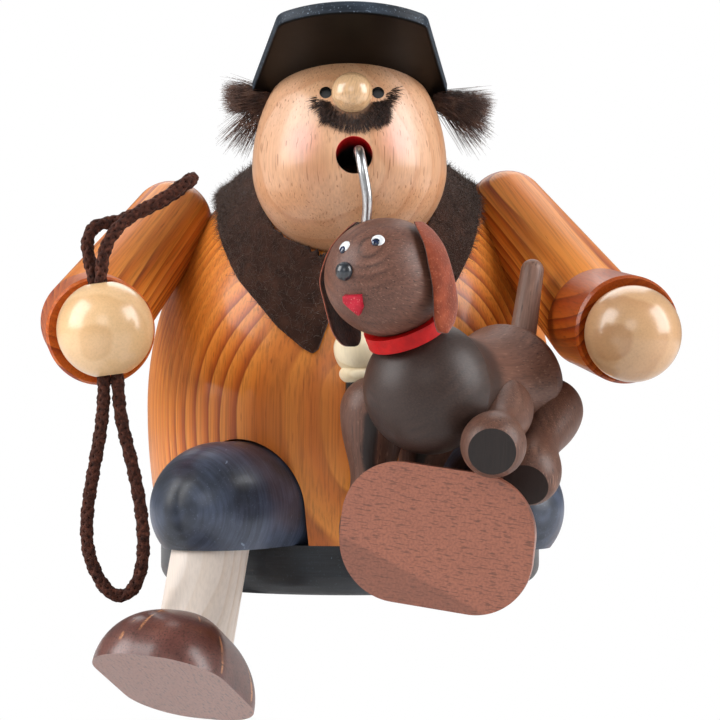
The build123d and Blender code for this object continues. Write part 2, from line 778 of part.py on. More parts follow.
def sleeve(side):
    """A short turned cuff, mitred at the elbow and dished at the end round the hand."""
    shoulder, elbow, cuff, hand = arms[side]
    plane = turning_plane(elbow, cuff - elbow)
    length = (cuff - elbow).length
    with BuildPart() as piece:
        with BuildSketch(plane):
            with BuildLine():
                Polyline((0, -cuff_radius), (elbow_radius, -cuff_radius), (elbow_radius, 0),
                         (cuff_radius, length - cuff_round), (cuff_radius - cuff_rim, length),
                         (cuff_seat, length - cuff_dish), (0, length - cuff_dish), close=True)
            make_face()
        revolve(axis=axis_of(plane))
        split(bisect_by=mitre(side), keep=Keep.TOP)
        with Locations(hand):
            Sphere(hand_radius + hand_gap, mode=Mode.SUBTRACT)
        add(hand_dowel(side).part, mode=Mode.SUBTRACT)
    return piece


def hand_dowel(side):
    shoulder, elbow, cuff, hand = arms[side]
    way = (cuff - elbow).normalized()
    with BuildPart(mode=Mode.PRIVATE) as piece:
        with BuildSketch(facing_plane(hand - way * (hand_radius + hand_dowel_length / 2), way)):
            Circle(arm_dowel_radius)
        extrude(amount=hand_dowel_length)
    return piece


def hand_ball(side):
    """A turned ball; the right one is bored aslant for the two strands of the leash."""
    shoulder, elbow, cuff, hand = arms[side]
    with BuildPart() as piece:
        with Locations(hand):
            Sphere(hand_radius)
        add(hand_dowel(side).part, mode=Mode.SUBTRACT)
        if side == "right":
            lean = radians(leash_hole_lean)
            bore_way = Vector(-sin(lean), 0, cos(lean))
            with BuildSketch(facing_plane(hand - bore_way * hand_radius, bore_way)):
                Circle(leash_hole_radius)
            extrude(amount=hand_radius + hand_radius, mode=Mode.SUBTRACT)
    return piece


for side in arms:
    save(upper_arm(side), f"{side}_upper_arm")
    save(shoulder_dowel(side), f"{side}_shoulder_dowel")
    save(sleeve(side), f"{side}_sleeve")
    save(hand_dowel(side), f"{side}_hand_dowel")
    save(hand_ball(side), f"{side}_hand")

# Pipe: a bent steel wire from the mouth, a turned bowl with a bead below and its small dark foot
with BuildPart() as pipe_stem:
    with BuildLine() as wire_line:
        FilletPolyline(*wire_route, radius=[share * wire_drop for share in wire_bend_shares])
    with BuildSketch(facing_plane(wire_route[0], way_between(wire_route[0], wire_route[1]))):
        Circle(wire_radius)
    sweep()
save(pipe_stem, "pipe_stem")

bowl_plane = Plane(origin=(wire_route[-1].X, wire_route[-1].Y, 0), x_dir=X_WAY, z_dir=(0, -1, 0))
bowl_axis = Axis(bowl_plane.origin, UP)
bowl_belly = bowl_top - bowl_rise
bead_middle = bowl_belly - bowl_drop + bead_overlap - bead_height / 2
bead_foot = bead_middle - bead_height / 2


def turned_ball(middle, radius, rise, drop):
    """Half the section of a turned ball with unequal upper and lower heights."""
    with BuildSketch(mode=Mode.PRIVATE) as face:
        with BuildLine():
            quarter_ellipse(middle, radius, rise)
            quarter_ellipse(middle, radius, -drop)
            Line((0, middle + rise), (0, middle - drop))
        make_face()
    return face.sketch


with BuildPart() as pipe_foot:
    with BuildSketch(bowl_plane):
        with BuildLine():
            Polyline((0, bead_foot + sump_socket), (sump_radius, bead_foot + sump_socket),
                     (sump_radius, bead_foot - sump_length + sump_edge),
                     (sump_radius - sump_edge, bead_foot - sump_length),
                     (0, bead_foot - sump_length), close=True)
        make_face()
    revolve(axis=bowl_axis)
save(pipe_foot, "pipe_foot")

with BuildPart() as pipe_bowl:
    with BuildSketch(bowl_plane):
        add(turned_ball(bowl_belly, bowl_radius, bowl_rise, bowl_drop))
        add(turned_ball(bead_middle, bead_radius, bead_height / 2, bead_height / 2))
    revolve(axis=bowl_axis)
    add(pipe_foot.part, mode=Mode.SUBTRACT)
    with BuildSketch(facing_plane(wire_route[-1], UP)):
        Circle(wire_radius + wire_hole_gap)
    extrude(amount=wire_sink + cut_over, mode=Mode.SUBTRACT)
save(pipe_bowl, "pipe_bowl")


# Dog
dog_front = place_from(dog_rear, dog_front_from_rear)
dog_head = place_from(dog_front, dog_head_from_front)
dog_body_plane = turning_plane(dog_rear, dog_front - dog_rear, UP)
dog_body_length = (dog_front - dog_rear).length


def dog_body_form(growth):
    """The dog's turned body: two round lobes joined by a waist."""
    rear = dog_rear_radius + growth
    front = dog_front_radius + growth
    with BuildPart(mode=Mode.PRIVATE) as form:
        with BuildSketch(dog_body_plane):
            with BuildLine():
                quarter_ellipse(0, rear, -rear)
                ThreePointArc((rear, 0), (dog_waist_radius + growth, dog_body_length / 2),
                              (front, dog_body_length))
                quarter_ellipse(dog_body_length, front, front)
                Line((0, dog_body_length + front), (0, -rear))
            make_face()
        revolve(axis=axis_of(dog_body_plane))
    return form.part


def dog_head_form(growth):
    """The dog's egg-shaped head, pointed towards the nose."""
    plane = turning_plane(dog_head, dog_face_way, UP)
    round_end = dog_head_radius + growth
    with BuildPart(mode=Mode.PRIVATE) as form:
        with BuildSketch(plane):
            with BuildLine():
                quarter_ellipse(0, round_end, -round_end)
                quarter_ellipse(0, round_end, dog_muzzle + growth)
                Line((0, dog_muzzle + growth), (0, -round_end))
            make_face()
        revolve(axis=axis_of(plane))
    return form.part


dog_neck_way = way_between(dog_front, dog_head)
dog_neck = dog_front + dog_neck_way * (dog_front_radius - dog_collar_drop)
face_way = Vector(*dog_face_way).normalized()
dog_nose_point = dog_head + face_way * dog_muzzle


def collar_disc():
    """The space of the dog's collar, a short turned disc between its body and head."""
    with BuildPart(mode=Mode.PRIVATE) as form:
        with BuildSketch(facing_plane(dog_neck, dog_neck_way)):
            Circle(dog_collar_radius)
        extrude(amount=dog_collar_height)
    return form.part


with BuildPart() as dog_body:
    add(dog_body_form(0))
    add(peg_form(), mode=Mode.SUBTRACT)
    add(thigh_form("left", seat_gap), mode=Mode.SUBTRACT)
save(dog_body, "dog_body")

with BuildPart() as dog_peg:
    add(peg_form())
save(dog_peg, "dog_peg")

with BuildPart() as dog_collar:
    add(collar_disc())
    add(dog_body_form(seat_gap), mode=Mode.SUBTRACT)
    add(dog_head_form(seat_gap), mode=Mode.SUBTRACT)
save(dog_collar, "dog_collar")

with BuildPart() as dog_nose:
    with Locations(dog_nose_point):
        Sphere(dog_nose_radius)
save(dog_nose, "dog_nose")

with BuildPart() as dog_head_piece:
    add(dog_head_form(0))
    add(dog_body_form(seat_gap), mode=Mode.SUBTRACT)
    with Locations(dog_nose_point):
        Sphere(dog_nose_radius, mode=Mode.SUBTRACT)
save(dog_head_piece, "dog_head")

dog_lobes = {"rear": (dog_rear, dog_rear_radius), "front": (dog_front, dog_front_radius)}


def dog_leg(lobe, place_shares, way):
    """A turned leg like a skittle: round thigh, slim ankle, round paw with a flat sole."""
    centre, radius = dog_lobes[lobe]
    thigh_centre = share_place(place_shares, centre, radius, radius)
    leg_axis = Vector(*way).normalized()
    plane = turning_plane(thigh_centre - leg_axis * dog_thigh_radius, leg_axis, UP)
    ankle_at = dog_leg_length * dog_ankle_share
    paw_at = dog_leg_length * dog_paw_share
    with BuildPart() as piece:
        with BuildSketch(plane):
            with BuildLine():
                quarter_ellipse(dog_thigh_radius, dog_thigh_radius, -dog_thigh_radius)
                Spline((dog_thigh_radius, dog_thigh_radius), (dog_ankle_radius, ankle_at),
                       (dog_paw_radius, paw_at), (dog_sole_radius, dog_leg_length),
                       tangents=((0, 1), (-1, 1)))
                Line((dog_sole_radius, dog_leg_length), (0, dog_leg_length))
                Line((0, dog_leg_length), (0, 0))
            make_face()
        revolve(axis=axis_of(plane))
        add(dog_body_form(seat_gap), mode=Mode.SUBTRACT)
    return piece


for label, place in dog_leg_place_shares.items():
    save(dog_leg(*place), label)

# Dog's tail: a slim turned cone
tail_way = Vector(*dog_tail_way).normalized()
tail_plane = turning_plane(place_from(dog_rear, dog_tail_from_rear) - tail_way * dog_tail_socket, tail_way)
tail_length = dog_tail_length + dog_tail_socket
with BuildPart() as dog_tail:
    with BuildSketch(tail_plane):
        with BuildLine():
            Line((0, 0), (dog_tail_radius, 0))
            Line((dog_tail_radius, 0), (dog_tail_tip_radius, tail_length - dog_tail_tip_radius))
            quarter_ellipse(tail_length - dog_tail_tip_radius, dog_tail_tip_radius, dog_tail_tip_radius)
            Line((0, tail_length), (0, 0))
        make_face()
    revolve(axis=axis_of(tail_plane))
    add(dog_body_form(seat_gap), mode=Mode.SUBTRACT)
save(dog_tail, "dog_tail")

# Dog's ears: two leather drops bent over the sides of the head that hang free below its middle
ear_side = face_way.cross(UP).normalized()
ear_inner = dog_head_radius + ear_gap
ear_outer = ear_inner + ear_thickness


def ear(out, back):
    """A drop outline seen from the side, cut from leather that lies round the head."""
    with BuildPart() as piece:
        with BuildSketch(Plane(origin=dog_head, x_dir=UP.cross(out), z_dir=out)):
            with Locations((back, ear_top - ear_root_width / 2)):
                Circle(ear_root_width / 2)
            with Locations((back, ear_width / 2 - ear_bottom)):
                Circle(ear_width / 2)
            make_hull()
        extrude(amount=ear_outer)
        with BuildSketch(Plane(origin=dog_head, x_dir=out, z_dir=out.cross(UP))):
            Circle(ear_outer)
            Circle(ear_inner, mode=Mode.SUBTRACT)
            Rectangle(ear_outer + ear_outer, ear_outer, align=(Align.CENTER, Align.MAX), mode=Mode.SUBTRACT)
            with Locations((ear_inner, 0)):
                Rectangle(ear_thickness, ear_bottom, align=(Align.MIN, Align.MAX))
        extrude(amount=dog_head_radius, both=True, mode=Mode.INTERSECT)
        add(collar_disc(), mode=Mode.SUBTRACT)
    return piece


save(ear(ear_side, -right_ear_back), "dog_ear_right")
save(ear(-ear_side, left_ear_back), "dog_ear_left")

# Dog's tongue: a small shield below the nose
with BuildPart() as dog_tongue:
    with BuildSketch(facing_plane(dog_head, tongue_way)):
        with BuildLine():
            Polyline(*[(side * tongue_width, rise * tongue_length) for side, rise in tongue_outline_shares],
                     close=True)
        make_face()
    extrude(amount=dog_muzzle + tongue_thickness)
    add(dog_head_form(tongue_thickness), mode=Mode.INTERSECT)
    add(dog_head_form(seat_gap), mode=Mode.SUBTRACT)
save(dog_tongue, "dog_tongue")


def cord_radii(route):
    """Each arc's radius: a share of the shorter run, divided by the tangent of half the turn."""
    radii = []
    for before, here, after in zip(route, route[1:], route[2:]):
        run_in = Vector(*here) - Vector(*before)
        run_out = Vector(*after) - Vector(*here)
        turn = radians(run_in.get_angle(run_out))
        radii.append(cord_bend_share * min(run_in.length, run_out.length) / tan(turn / 2))
    return radii


def cord(route, label):
    """A cord's free stretch as a round tube along runs joined by tangent arcs."""
    radii = cord_radii(route)
    with BuildPart() as piece:
        with BuildLine() as path:
            FilletPolyline(*route, radius=radii)
        with BuildSketch(facing_plane(route[0], way_between(route[0], route[1]))):
            Circle(cord_radius)
        sweep()
    length = path.wires()[0].length
    print(label, "length", round(length, 2), "volume error",
          round(piece.part.volume / (pi * cord_radius ** 2 * length) - 1, 5))
    print(label, "radii", [round(radius, 2) for radius in radii])
    save(piece, label)


cord(lower_route, "leash_lower_loop")
cord(upper_route, "leash_upper_loop")
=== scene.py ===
"""Looks of a seated turned-wood incense smoker with a cap, a pipe, a leash and a dog on one knee.

Places and lengths are written in millimetres in the part's own frame, and MM turns them into metres.
"""
import json
import math
import random

import bmesh
import bpy
from mathutils import Matrix, Vector, noise
from mathutils.bvhtree import BVHTree


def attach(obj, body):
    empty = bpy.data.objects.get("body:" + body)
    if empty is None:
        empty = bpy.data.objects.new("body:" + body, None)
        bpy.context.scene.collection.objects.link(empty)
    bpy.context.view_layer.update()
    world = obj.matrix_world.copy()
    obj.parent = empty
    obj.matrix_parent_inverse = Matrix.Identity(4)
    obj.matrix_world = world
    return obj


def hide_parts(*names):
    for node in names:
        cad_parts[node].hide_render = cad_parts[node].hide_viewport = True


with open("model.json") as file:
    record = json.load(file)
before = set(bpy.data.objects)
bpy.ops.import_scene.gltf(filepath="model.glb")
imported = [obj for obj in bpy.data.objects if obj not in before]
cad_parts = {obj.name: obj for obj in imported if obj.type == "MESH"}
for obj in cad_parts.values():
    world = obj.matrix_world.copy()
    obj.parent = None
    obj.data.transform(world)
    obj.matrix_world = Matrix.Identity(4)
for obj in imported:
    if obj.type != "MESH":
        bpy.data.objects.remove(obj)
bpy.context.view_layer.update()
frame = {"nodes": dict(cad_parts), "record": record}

MM = 0.001
NODES = frame["nodes"]
SUBPARTS = frame["record"]["subparts"]
UP = Vector((0, 0, 1))


def new_object(name, data):
    """An object in the scene that carries the data."""
    obj = bpy.data.objects.new(name, data)
    bpy.context.scene.collection.objects.link(obj)
    return obj


def new_mesh(name, points, faces):
    """A smooth mesh object from points in millimetres."""
    mesh = bpy.data.meshes.new(name)
    mesh.from_pydata([tuple(Vector(point) * MM) for point in points], [], faces)
    mesh.polygons.foreach_set("use_smooth", [True] * len(mesh.polygons))
    mesh.update()
    return new_object(name, mesh)


def piece(obj, body, slot, *nodes):
    """Lets the object ride a body and hides the CAD nodes that it stands for; the slot is not used."""
    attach(obj, body)
    if nodes:
        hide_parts(*nodes)
    return obj


def bridge(faces, first, sides):
    """Adds the ring of four-cornered faces between two rings of points that follow each other."""
    for k in range(sides):
        a = first + k
        b = first + (k + 1) % sides
        faces.append((a, b, b + sides, a + sides))


# Camera: a long lens straight at the figure, a little above the seat
LENS_MM = 138.0
SENSOR_MM = 36.0
EYE = Vector((2.17, -600.0, 48.0)) * MM


def make_camera():
    """A level camera that looks straight to the back."""
    data = bpy.data.cameras.new("camera")
    data.lens = LENS_MM
    data.sensor_width = SENSOR_MM
    data.clip_start = 0.01
    data.clip_end = 50.0
    camera = new_object("camera", data)
    camera.location = EYE
    camera.rotation_euler = (math.radians(90), 0, 0)
    bpy.context.scene.camera = camera


make_camera()

# Leash: two free stretches of one braided cord that passes through the right hand
PLY_RADIUS = 0.52
PLY_RING = 0.8
PLY_WEAVE = 0.11
PLY_PITCH = 7.4
PLY_STEP = 0.4
PLIES_EACH_WAY = 4
PLY_SIDES = 6
CORE_SIDES = 8
LOWER_ROUTE = ((-48.1, -60.0, 49.0), (-47.8, -60.0, 42.6), (-48.4, -60.1, 34.8), (-49.9, -60.3, 26.6),
               (-51.3, -60.5, 18.0), (-51.2, -60.6, 10.6), (-48.6, -60.7, 4.5), (-45.8, -60.8, 1.7),
               (-42.6, -60.8, 2.3), (-40.6, -60.7, 6.2), (-40.0, -60.5, 12.4), (-40.8, -60.3, 20.2),
               (-42.6, -60.1, 28.6), (-44.6, -60.0, 36.2), (-45.2, -60.0, 42.6), (-45.55, -60.0, 49.0))
UPPER_ROUTE = ((-49.0, -58.8, 56.5), (-49.6, -59.0, 62.4), (-50.9, -59.0, 67.6), (-51.5, -58.8, 71.4),
               (-50.0, -58.0, 74.6), (-46.2, -56.6, 75.1), (-41.6, -54.8, 77.0), (-36.0, -53.4, 79.9),
               (-32.2, -52.6, 82.8), (-30.5, -55.9, 84.1), (-32.1, -59.1, 82.8), (-36.0, -59.7, 79.7),
               (-40.4, -60.4, 77.4), (-44.4, -61.0, 74.8), (-47.2, -61.4, 71.0), (-48.3, -61.5, 66.6),
               (-48.4, -61.4, 61.8), (-48.4, -61.35, 56.5))


def route_points(route, step):
    """Even points in millimetres along the smooth curve that has the route as its control points."""
    data = bpy.data.curves.new("route", "CURVE")
    data.dimensions = "3D"
    data.resolution_u = 24
    spline = data.splines.new("NURBS")
    spline.points.add(len(route) - 1)
    for point, place in zip(spline.points, route):
        point.co = (*(Vector(place) * MM), 1)
    spline.order_u = 3
    spline.use_endpoint_u = True
    curve = new_object("route", data)
    mesh = bpy.data.meshes.new_from_object(curve)
    line = [vertex.co / MM for vertex in mesh.vertices]
    bpy.data.meshes.remove(mesh)
    bpy.data.objects.remove(curve)
    bpy.data.curves.remove(data)
    reach = [0.0]
    for a, b in zip(line, line[1:]):
        reach.append(reach[-1] + (b - a).length)
    count = int(reach[-1] / step)
    even = []
    spot = 0
    for index in range(count + 1):
        target = reach[-1] * index / count
        while spot < len(reach) - 2 and reach[spot + 1] < target:
            spot += 1
        share = (target - reach[spot]) / max(reach[spot + 1] - reach[spot], 1e-9)
        even.append(line[spot].lerp(line[spot + 1], share))
    return even, reach[-1]


def frames_along(points):
    """A side direction at each point that turns as little as possible from one to the next."""
    ways = [(points[min(i + 1, len(points) - 1)] - points[max(i - 1, 0)]).normalized()
            for i in range(len(points))]
    side = ways[0].orthogonal().normalized()
    frames = []
    for way in ways:
        side = (side - way * side.dot(way)).normalized()
        frames.append((way, side, way.cross(side)))
    return frames


def tube(points, radius, sides, store):
    """Adds a closed tube along the points to a list of points and faces."""
    verts, faces = store
    first = len(verts)
    for point, (_, side, other) in zip(points, frames_along(points)):
        for k in range(sides):
            turn = 2 * math.pi * k / sides
            verts.append(point + (side * math.cos(turn) + other * math.sin(turn)) * radius)
    last = first + (len(points) - 1) * sides
    for ring in range(first, last, sides):
        bridge(faces, ring, sides)
    faces.append(tuple(first + k for k in reversed(range(sides))))
    faces.append(tuple(last + k for k in range(sides)))


def braided_cord(name, route, node):
    """Eight plies, four to the left and four to the right, that pass over and under each other."""
    points, length = route_points(route, PLY_STEP)
    frames = frames_along(points)
    store = ([], [])
    tube(points, PLY_RING, CORE_SIDES, store)
    for hand in (-1, 1):
        for ply in range(PLIES_EACH_WAY):
            line = []
            for index, (point, (_, side, other)) in enumerate(zip(points, frames)):
                turn = 2 * math.pi * index * PLY_STEP / PLY_PITCH
                angle = hand * turn + math.pi * ply / 2 + (math.pi / 4 if hand > 0 else 0)
                weave = math.cos(PLIES_EACH_WAY * turn + (math.pi if hand > 0 else 0) + math.pi * ply)
                radius = PLY_RING + PLY_WEAVE * weave
                line.append(point + (side * math.cos(angle) + other * math.sin(angle)) * radius)
            tube(line, PLY_RADIUS, PLY_SIDES, store)
    cord = piece(new_mesh(name, *store), "upper", "cord", node)
    return cord


LEASH = (braided_cord("lower_leash", LOWER_ROUTE, "leash_lower_loop"),
         braided_cord("upper_leash", UPPER_ROUTE, "leash_upper_loop"))


# Materials: a small builder, then one function for each real material
def as_light(code):
    """A display colour written as six hex digits, as linear light."""
    shares = [int(code[i:i + 2], 16) / 255 for i in (1, 3, 5)]
    return [share / 12.92 if share <= 0.04045 else ((share + 0.055) / 1.055) ** 2.4 for share in shares]


def axes(origin, grain, side=(1, 0, 0)):
    """A frame in millimetres whose Z is the grain and whose X leans to the side way."""
    z = Vector(grain).normalized()
    x = (Vector(side) - z * z.dot(Vector(side))).normalized()
    turn = Matrix((x, z.cross(x), z)).transposed().to_4x4()
    return Matrix.Translation(Vector(origin)) @ turn


class Surface:
    """A Principled material with short calls for the nodes that paint it; lengths are in millimetres."""

    def __init__(self, name, roughness, coat=0.0, coat_roughness=0.1, sheen=0.0, metallic=0.0, specular=0.5):
        self.material = bpy.data.materials.new(name)
        self.material.use_nodes = True
        self.tree = self.material.node_tree
        self.shader = self.tree.nodes["Principled BSDF"]
        self.set(self.shader, {"Roughness": roughness, "Metallic": metallic, "Coat Weight": coat,
                               "Coat Roughness": coat_roughness, "Sheen Weight": sheen,
                               "Specular IOR Level": specular})

    def set(self, node, values):
        """Sets each named socket to a number or joins it to another socket."""
        for socket, value in values.items():
            if isinstance(value, bpy.types.NodeSocket):
                self.tree.links.new(value, node.inputs[socket])
            else:
                node.inputs[socket].default_value = value

    def add(self, kind, values=None, **settings):
        """A new node with its settings and its sockets' values."""
        node = self.tree.nodes.new(kind)
        for key, value in settings.items():
            setattr(node, key, value)
        self.set(node, values or {})
        return node

    def place(self, seat=None):
        """Object coordinates in millimetres in the given frame."""
        coords = self.add("ShaderNodeTexCoord").outputs["Object"]
        matrix = (seat or Matrix.Identity(4)).inverted()
        return self.add("ShaderNodeMapping", {"Vector": coords, "Scale": (1000, 1000, 1000),
                                              "Rotation": matrix.to_euler(),
                                              "Location": matrix.translation}).outputs[0]

    def vector(self, operation, a, b=None):
        """A vector, or a number for a length, a distance and a dot product."""
        node = self.add("ShaderNodeVectorMath", {0: a}, operation=operation)
        if b is not None:
            self.set(node, {1: b})
        return node.outputs["Value" if operation in ("LENGTH", "DISTANCE", "DOT_PRODUCT") else "Vector"]

    def split(self, vector):
        """The three numbers of a vector."""
        return self.add("ShaderNodeSeparateXYZ", {0: vector}).outputs

    def facing(self, way):
        """1 where the surface faces the way, 0 across it and below 0 behind it."""
        return self.vector("DOT_PRODUCT", self.add("ShaderNodeTexCoord").outputs["Normal"], way)

    def noise(self, vector, size, detail=2.0):
        """Smooth noise from 0 to 1 whose lumps are about size millimetres across."""
        return self.add("ShaderNodeTexNoise", {"Vector": vector, "Scale": 1 / size,
                                               "Detail": detail}).outputs["Fac"]

    def streaks(self, point, stretch, size, detail=2.0):
        """Noise that is drawn out along the axes whose stretch share is small."""
        return self.noise(self.vector("MULTIPLY", point, stretch), size, detail)

    def math(self, operation, a, b=0.0):
        """One step of arithmetic on numbers."""
        return self.add("ShaderNodeMath", {0: a, 1: b}, operation=operation).outputs[0]

    def fade(self, value, start, end, top=1.0):
        """Goes smoothly from 0 at start to top at end."""
        values = {"Value": value, "From Min": start, "From Max": end, "To Max": top}
        return self.add("ShaderNodeMapRange", values, interpolation_type="SMOOTHSTEP").outputs["Result"]

    def spot(self, point, centre, inner, outer, top=1.0):
        """A soft round spot: top within the inner radius, 0 outside the outer one."""
        return self.fade(self.vector("DISTANCE", point, centre), outer, inner, top)

    def ramp(self, value, *stops):
        """A colour ramp; stops are pairs of place and colour."""
        node = self.add("ShaderNodeValToRGB", {"Fac": value})
        while len(node.color_ramp.elements) < len(stops):
            node.color_ramp.elements.new(0.5)
        for element, (place, color) in zip(node.color_ramp.elements, stops):
            element.position = place
            element.color = (*as_light(color), 1)
        return node.outputs["Color"]

    def mix(self, share, a, b, blend="MIX"):
        """Colour a, and colour b by the given share."""
        node = self.add("ShaderNodeMix", data_type="RGBA", blend_type=blend)
        colors = [socket for socket in node.inputs if socket.type == "RGBA"]
        self.set(node, {0: share})
        for socket, value in zip(colors, (a, b)):
            if isinstance(value, bpy.types.NodeSocket):
                self.tree.links.new(value, socket)
            else:
                socket.default_value = (*as_light(value), 1)
        return [socket for socket in node.outputs if socket.type == "RGBA"][0]

    def rings(self, point, taper, wobble, wave):
        """Distance from the Z axis, with Z shrunk to its taper, that wobbles by up to wave millimetres."""
        away = self.vector("LENGTH", self.vector("MULTIPLY", point, (1, 1, taper)))
        return self.math("ADD", away, self.math("MULTIPLY", wobble, wave))

    def grain(self, color, fibre, share, dark, pale=0.6):
        """Darkens the colour by a share between the fibres, up to the fibre value pale."""
        return self.mix(share, color, self.ramp(fibre, (0.3, dark), (pale, "#ffffff")), "MULTIPLY")

    def finish(self, color, height=None, depth=0.05):
        """Joins the colour and a bump of the given depth in millimetres."""
        self.set(self.shader, {"Base Color": color})
        if height is not None:
            bump = self.add("ShaderNodeBump", {"Height": height, "Distance": depth * MM, "Strength": 1.0})
            self.set(self.shader, {"Normal": bump.outputs[0]})
        return self.material


# Woods
def larch(name, pith, spacing=2.1, field=None, soft=0.42, tint="#ffffff"):
    """Varnished larch: pale early wood, dark late lines, fine fibres; the frame's axis is the pith."""
    wood = Surface(name, roughness=0.42, coat=0.3, coat_roughness=0.16, specular=0.25)
    point = wood.place(pith)
    warp = wood.streaks(point, (1, 1, 0.35), 22, 1.5)
    away = wood.rings(point, 0.06, warp, 4.5)
    pace = wood.noise(wood.add("ShaderNodeCombineXYZ", {0: away}).outputs[0], 6, 1.0)
    turns = wood.math("ADD", wood.math("DIVIDE", away, spacing), wood.math("MULTIPLY", pace, 2.2))
    ring = wood.math("FRACT", turns)
    color = wood.ramp(ring, (0.0, "#df8c38"), (0.38, "#d57b2b"), (0.66, "#c2641d"), (0.84, "#a44c14"),
                      (0.93, "#934210"), (1.0, "#df8b36"))
    pale = wood.ramp(ring, (0.0, "#da8632"), (0.6, "#cb7326"), (1.0, "#d88330"))
    quiet = wood.fade(wood.streaks(point, (1, 1, 0.2), 17, 1.0), soft, soft + 0.16, 0.85)
    color = wood.mix(quiet, color, pale)
    if field:
        color = wood.mix(wood.spot(wood.place(), field, 5, 17, 0.55), color, "#a85a1e")
    fibre = wood.streaks(point, (1, 1, 0.02), 0.42, 3)
    color = wood.grain(color, fibre, 0.5, "#a9a9a9", 0.55)
    pore = wood.fade(wood.streaks(point, (1, 1, 0.07), 0.5, 1), 0.7, 0.78, 0.6)
    color = wood.mix(pore, color, "#7e4014")
    color = wood.mix(1.0, color, tint, "MULTIPLY")
    return wood.finish(color, fibre, 0.03)


def plain_wood(name, pith, colors, roughness=0.35, coat=0.4, ring=2.4, flecks=0.3, fibres=0.35):
    """A quiet turned wood: soft rings, fibres along the grain and a few flecks."""
    wood = Surface(name, roughness, coat, coat_roughness=0.15)
    point = wood.place(pith)
    away = wood.rings(point, 0.1, wood.streaks(point, (1, 1, 0.3), 9, 1.5), 5.0)
    lines = wood.math("FRACT", wood.math("DIVIDE", away, ring))
    light, middle, dark = colors
    color = wood.ramp(lines, (0.0, light), (0.6, middle), (0.9, dark), (1.0, light))
    color = wood.mix(wood.fade(wood.noise(point, 12, 2), 0.35, 0.65, 0.7), color, middle)
    fibre = wood.streaks(point, (1, 1, 0.04), 0.4, 3)
    color = wood.grain(color, fibre, fibres, "#9a9a9a")
    fleck = wood.fade(wood.streaks(point, (1, 1, 0.13), 0.55, 1), 0.66, 0.74, flecks)
    color = wood.mix(fleck, color, "#8a5a34")
    return wood.finish(color, fibre, 0.02)


# Places painted on the head. The mouth's frame has its Z along the bore, into the head; where a size is
# a pair, the paint fades in from the first value to the second
MOUTH_FALL = math.radians(15)
MOUTH = axes((1.0, -52.0, 88.92), (0, math.cos(MOUTH_FALL), -math.sin(MOUTH_FALL)))
BORE_RADIUS = (3.72, 3.62)
BORE_DEPTH = (24, 22)
EYE_RADIUS = (1.28, 1.2)
EYES = ((-4.7, 101.6), (5.8, 101.6))
BLUSH = ((-9.2, -48.5, 91.8), (9.6, -48.5, 91.8))
FOREHEAD = (0, -50, 106)
CHIN_SHADE = (2, -44, 70)
HEAD_PITH = axes((22, 10, 112), (0.2, 0.1, 1))


def face_wood():
    """Pale beech with short dark flecks, two soft pink cheeks, a red mouth and black eye holes."""
    wood = Surface("face_wood", roughness=0.36, coat=0.35, coat_roughness=0.18)
    point = wood.place()
    color = wood.ramp(wood.streaks(point, (1, 1, 0.4), 13, 2), (0.3, "#cb9873"), (0.5, "#d7a884"),
                      (0.75, "#e2b79b"))
    color = wood.mix(wood.spot(point, FOREHEAD, 4, 16, 0.8), color, "#d2a27a")
    # Painted shade: a darker spot on the chin
    color = wood.mix(wood.spot(point, CHIN_SHADE, 5, 21, 0.6), color, "#bf8c64")
    away = wood.rings(wood.place(HEAD_PITH), 0.5, wood.noise(point, 12, 1), 4.0)
    rings = wood.ramp(wood.math("FRACT", wood.math("DIVIDE", away, 4.2)), (0.0, "#ffffff"),
                      (0.7, "#f4e4d0"), (0.92, "#d9b48c"), (1.0, "#ffffff"))
    color = wood.mix(0.42, color, rings, "MULTIPLY")
    # An oval under the moustache, so that no pale wood shows between its hairs
    under_fur = wood.vector("DISTANCE", wood.vector("MULTIPLY", point, (0.17, 0, 0.36)), (0.2, 0, 35.0))
    color = wood.mix(wood.fade(under_fur, 1.1, 0.8, 0.85), color, "#3a241a")
    for centre in BLUSH:
        color = wood.mix(wood.spot(point, centre, 0.5, 6.0, 0.4), color, "#e88f88")
    fibre = wood.streaks(point, (1, 1, 0.06), 0.4, 3)
    color = wood.grain(color, fibre, 0.3, "#a8a8a8")
    fleck = wood.fade(wood.streaks(point, (1.3, 1, 0.05), 0.4, 0), 0.7, 0.75, 0.75)
    color = wood.mix(fleck, color, "#94603f")
    # The bore is red near its mouth; further in and on its lower wall it is painted near black as shade
    in_bore = wood.place(MOUTH)
    _, height, depth = wood.split(in_bore)
    inside = wood.vector("LENGTH", wood.vector("MULTIPLY", in_bore, (1, 1, 0)))
    wall = wood.ramp(wood.fade(depth, 3.5, 7.5), (0.0, "#c01418"), (1.0, "#140505"))
    wall = wood.mix(wood.fade(height, 0.8, -1.6), "#1c0a08", wall)
    front = wood.math("MULTIPLY", wood.fade(inside, *BORE_RADIUS), wood.fade(depth, *BORE_DEPTH))
    color = wood.mix(front, color, wall)
    for x, z in EYES:
        near = wood.vector("DISTANCE", wood.vector("MULTIPLY", point, (1, 0, 1)), (x, 0, z))
        color = wood.mix(wood.fade(near, *EYE_RADIUS), color, "#050404")
    return wood.finish(color, fibre, 0.02)


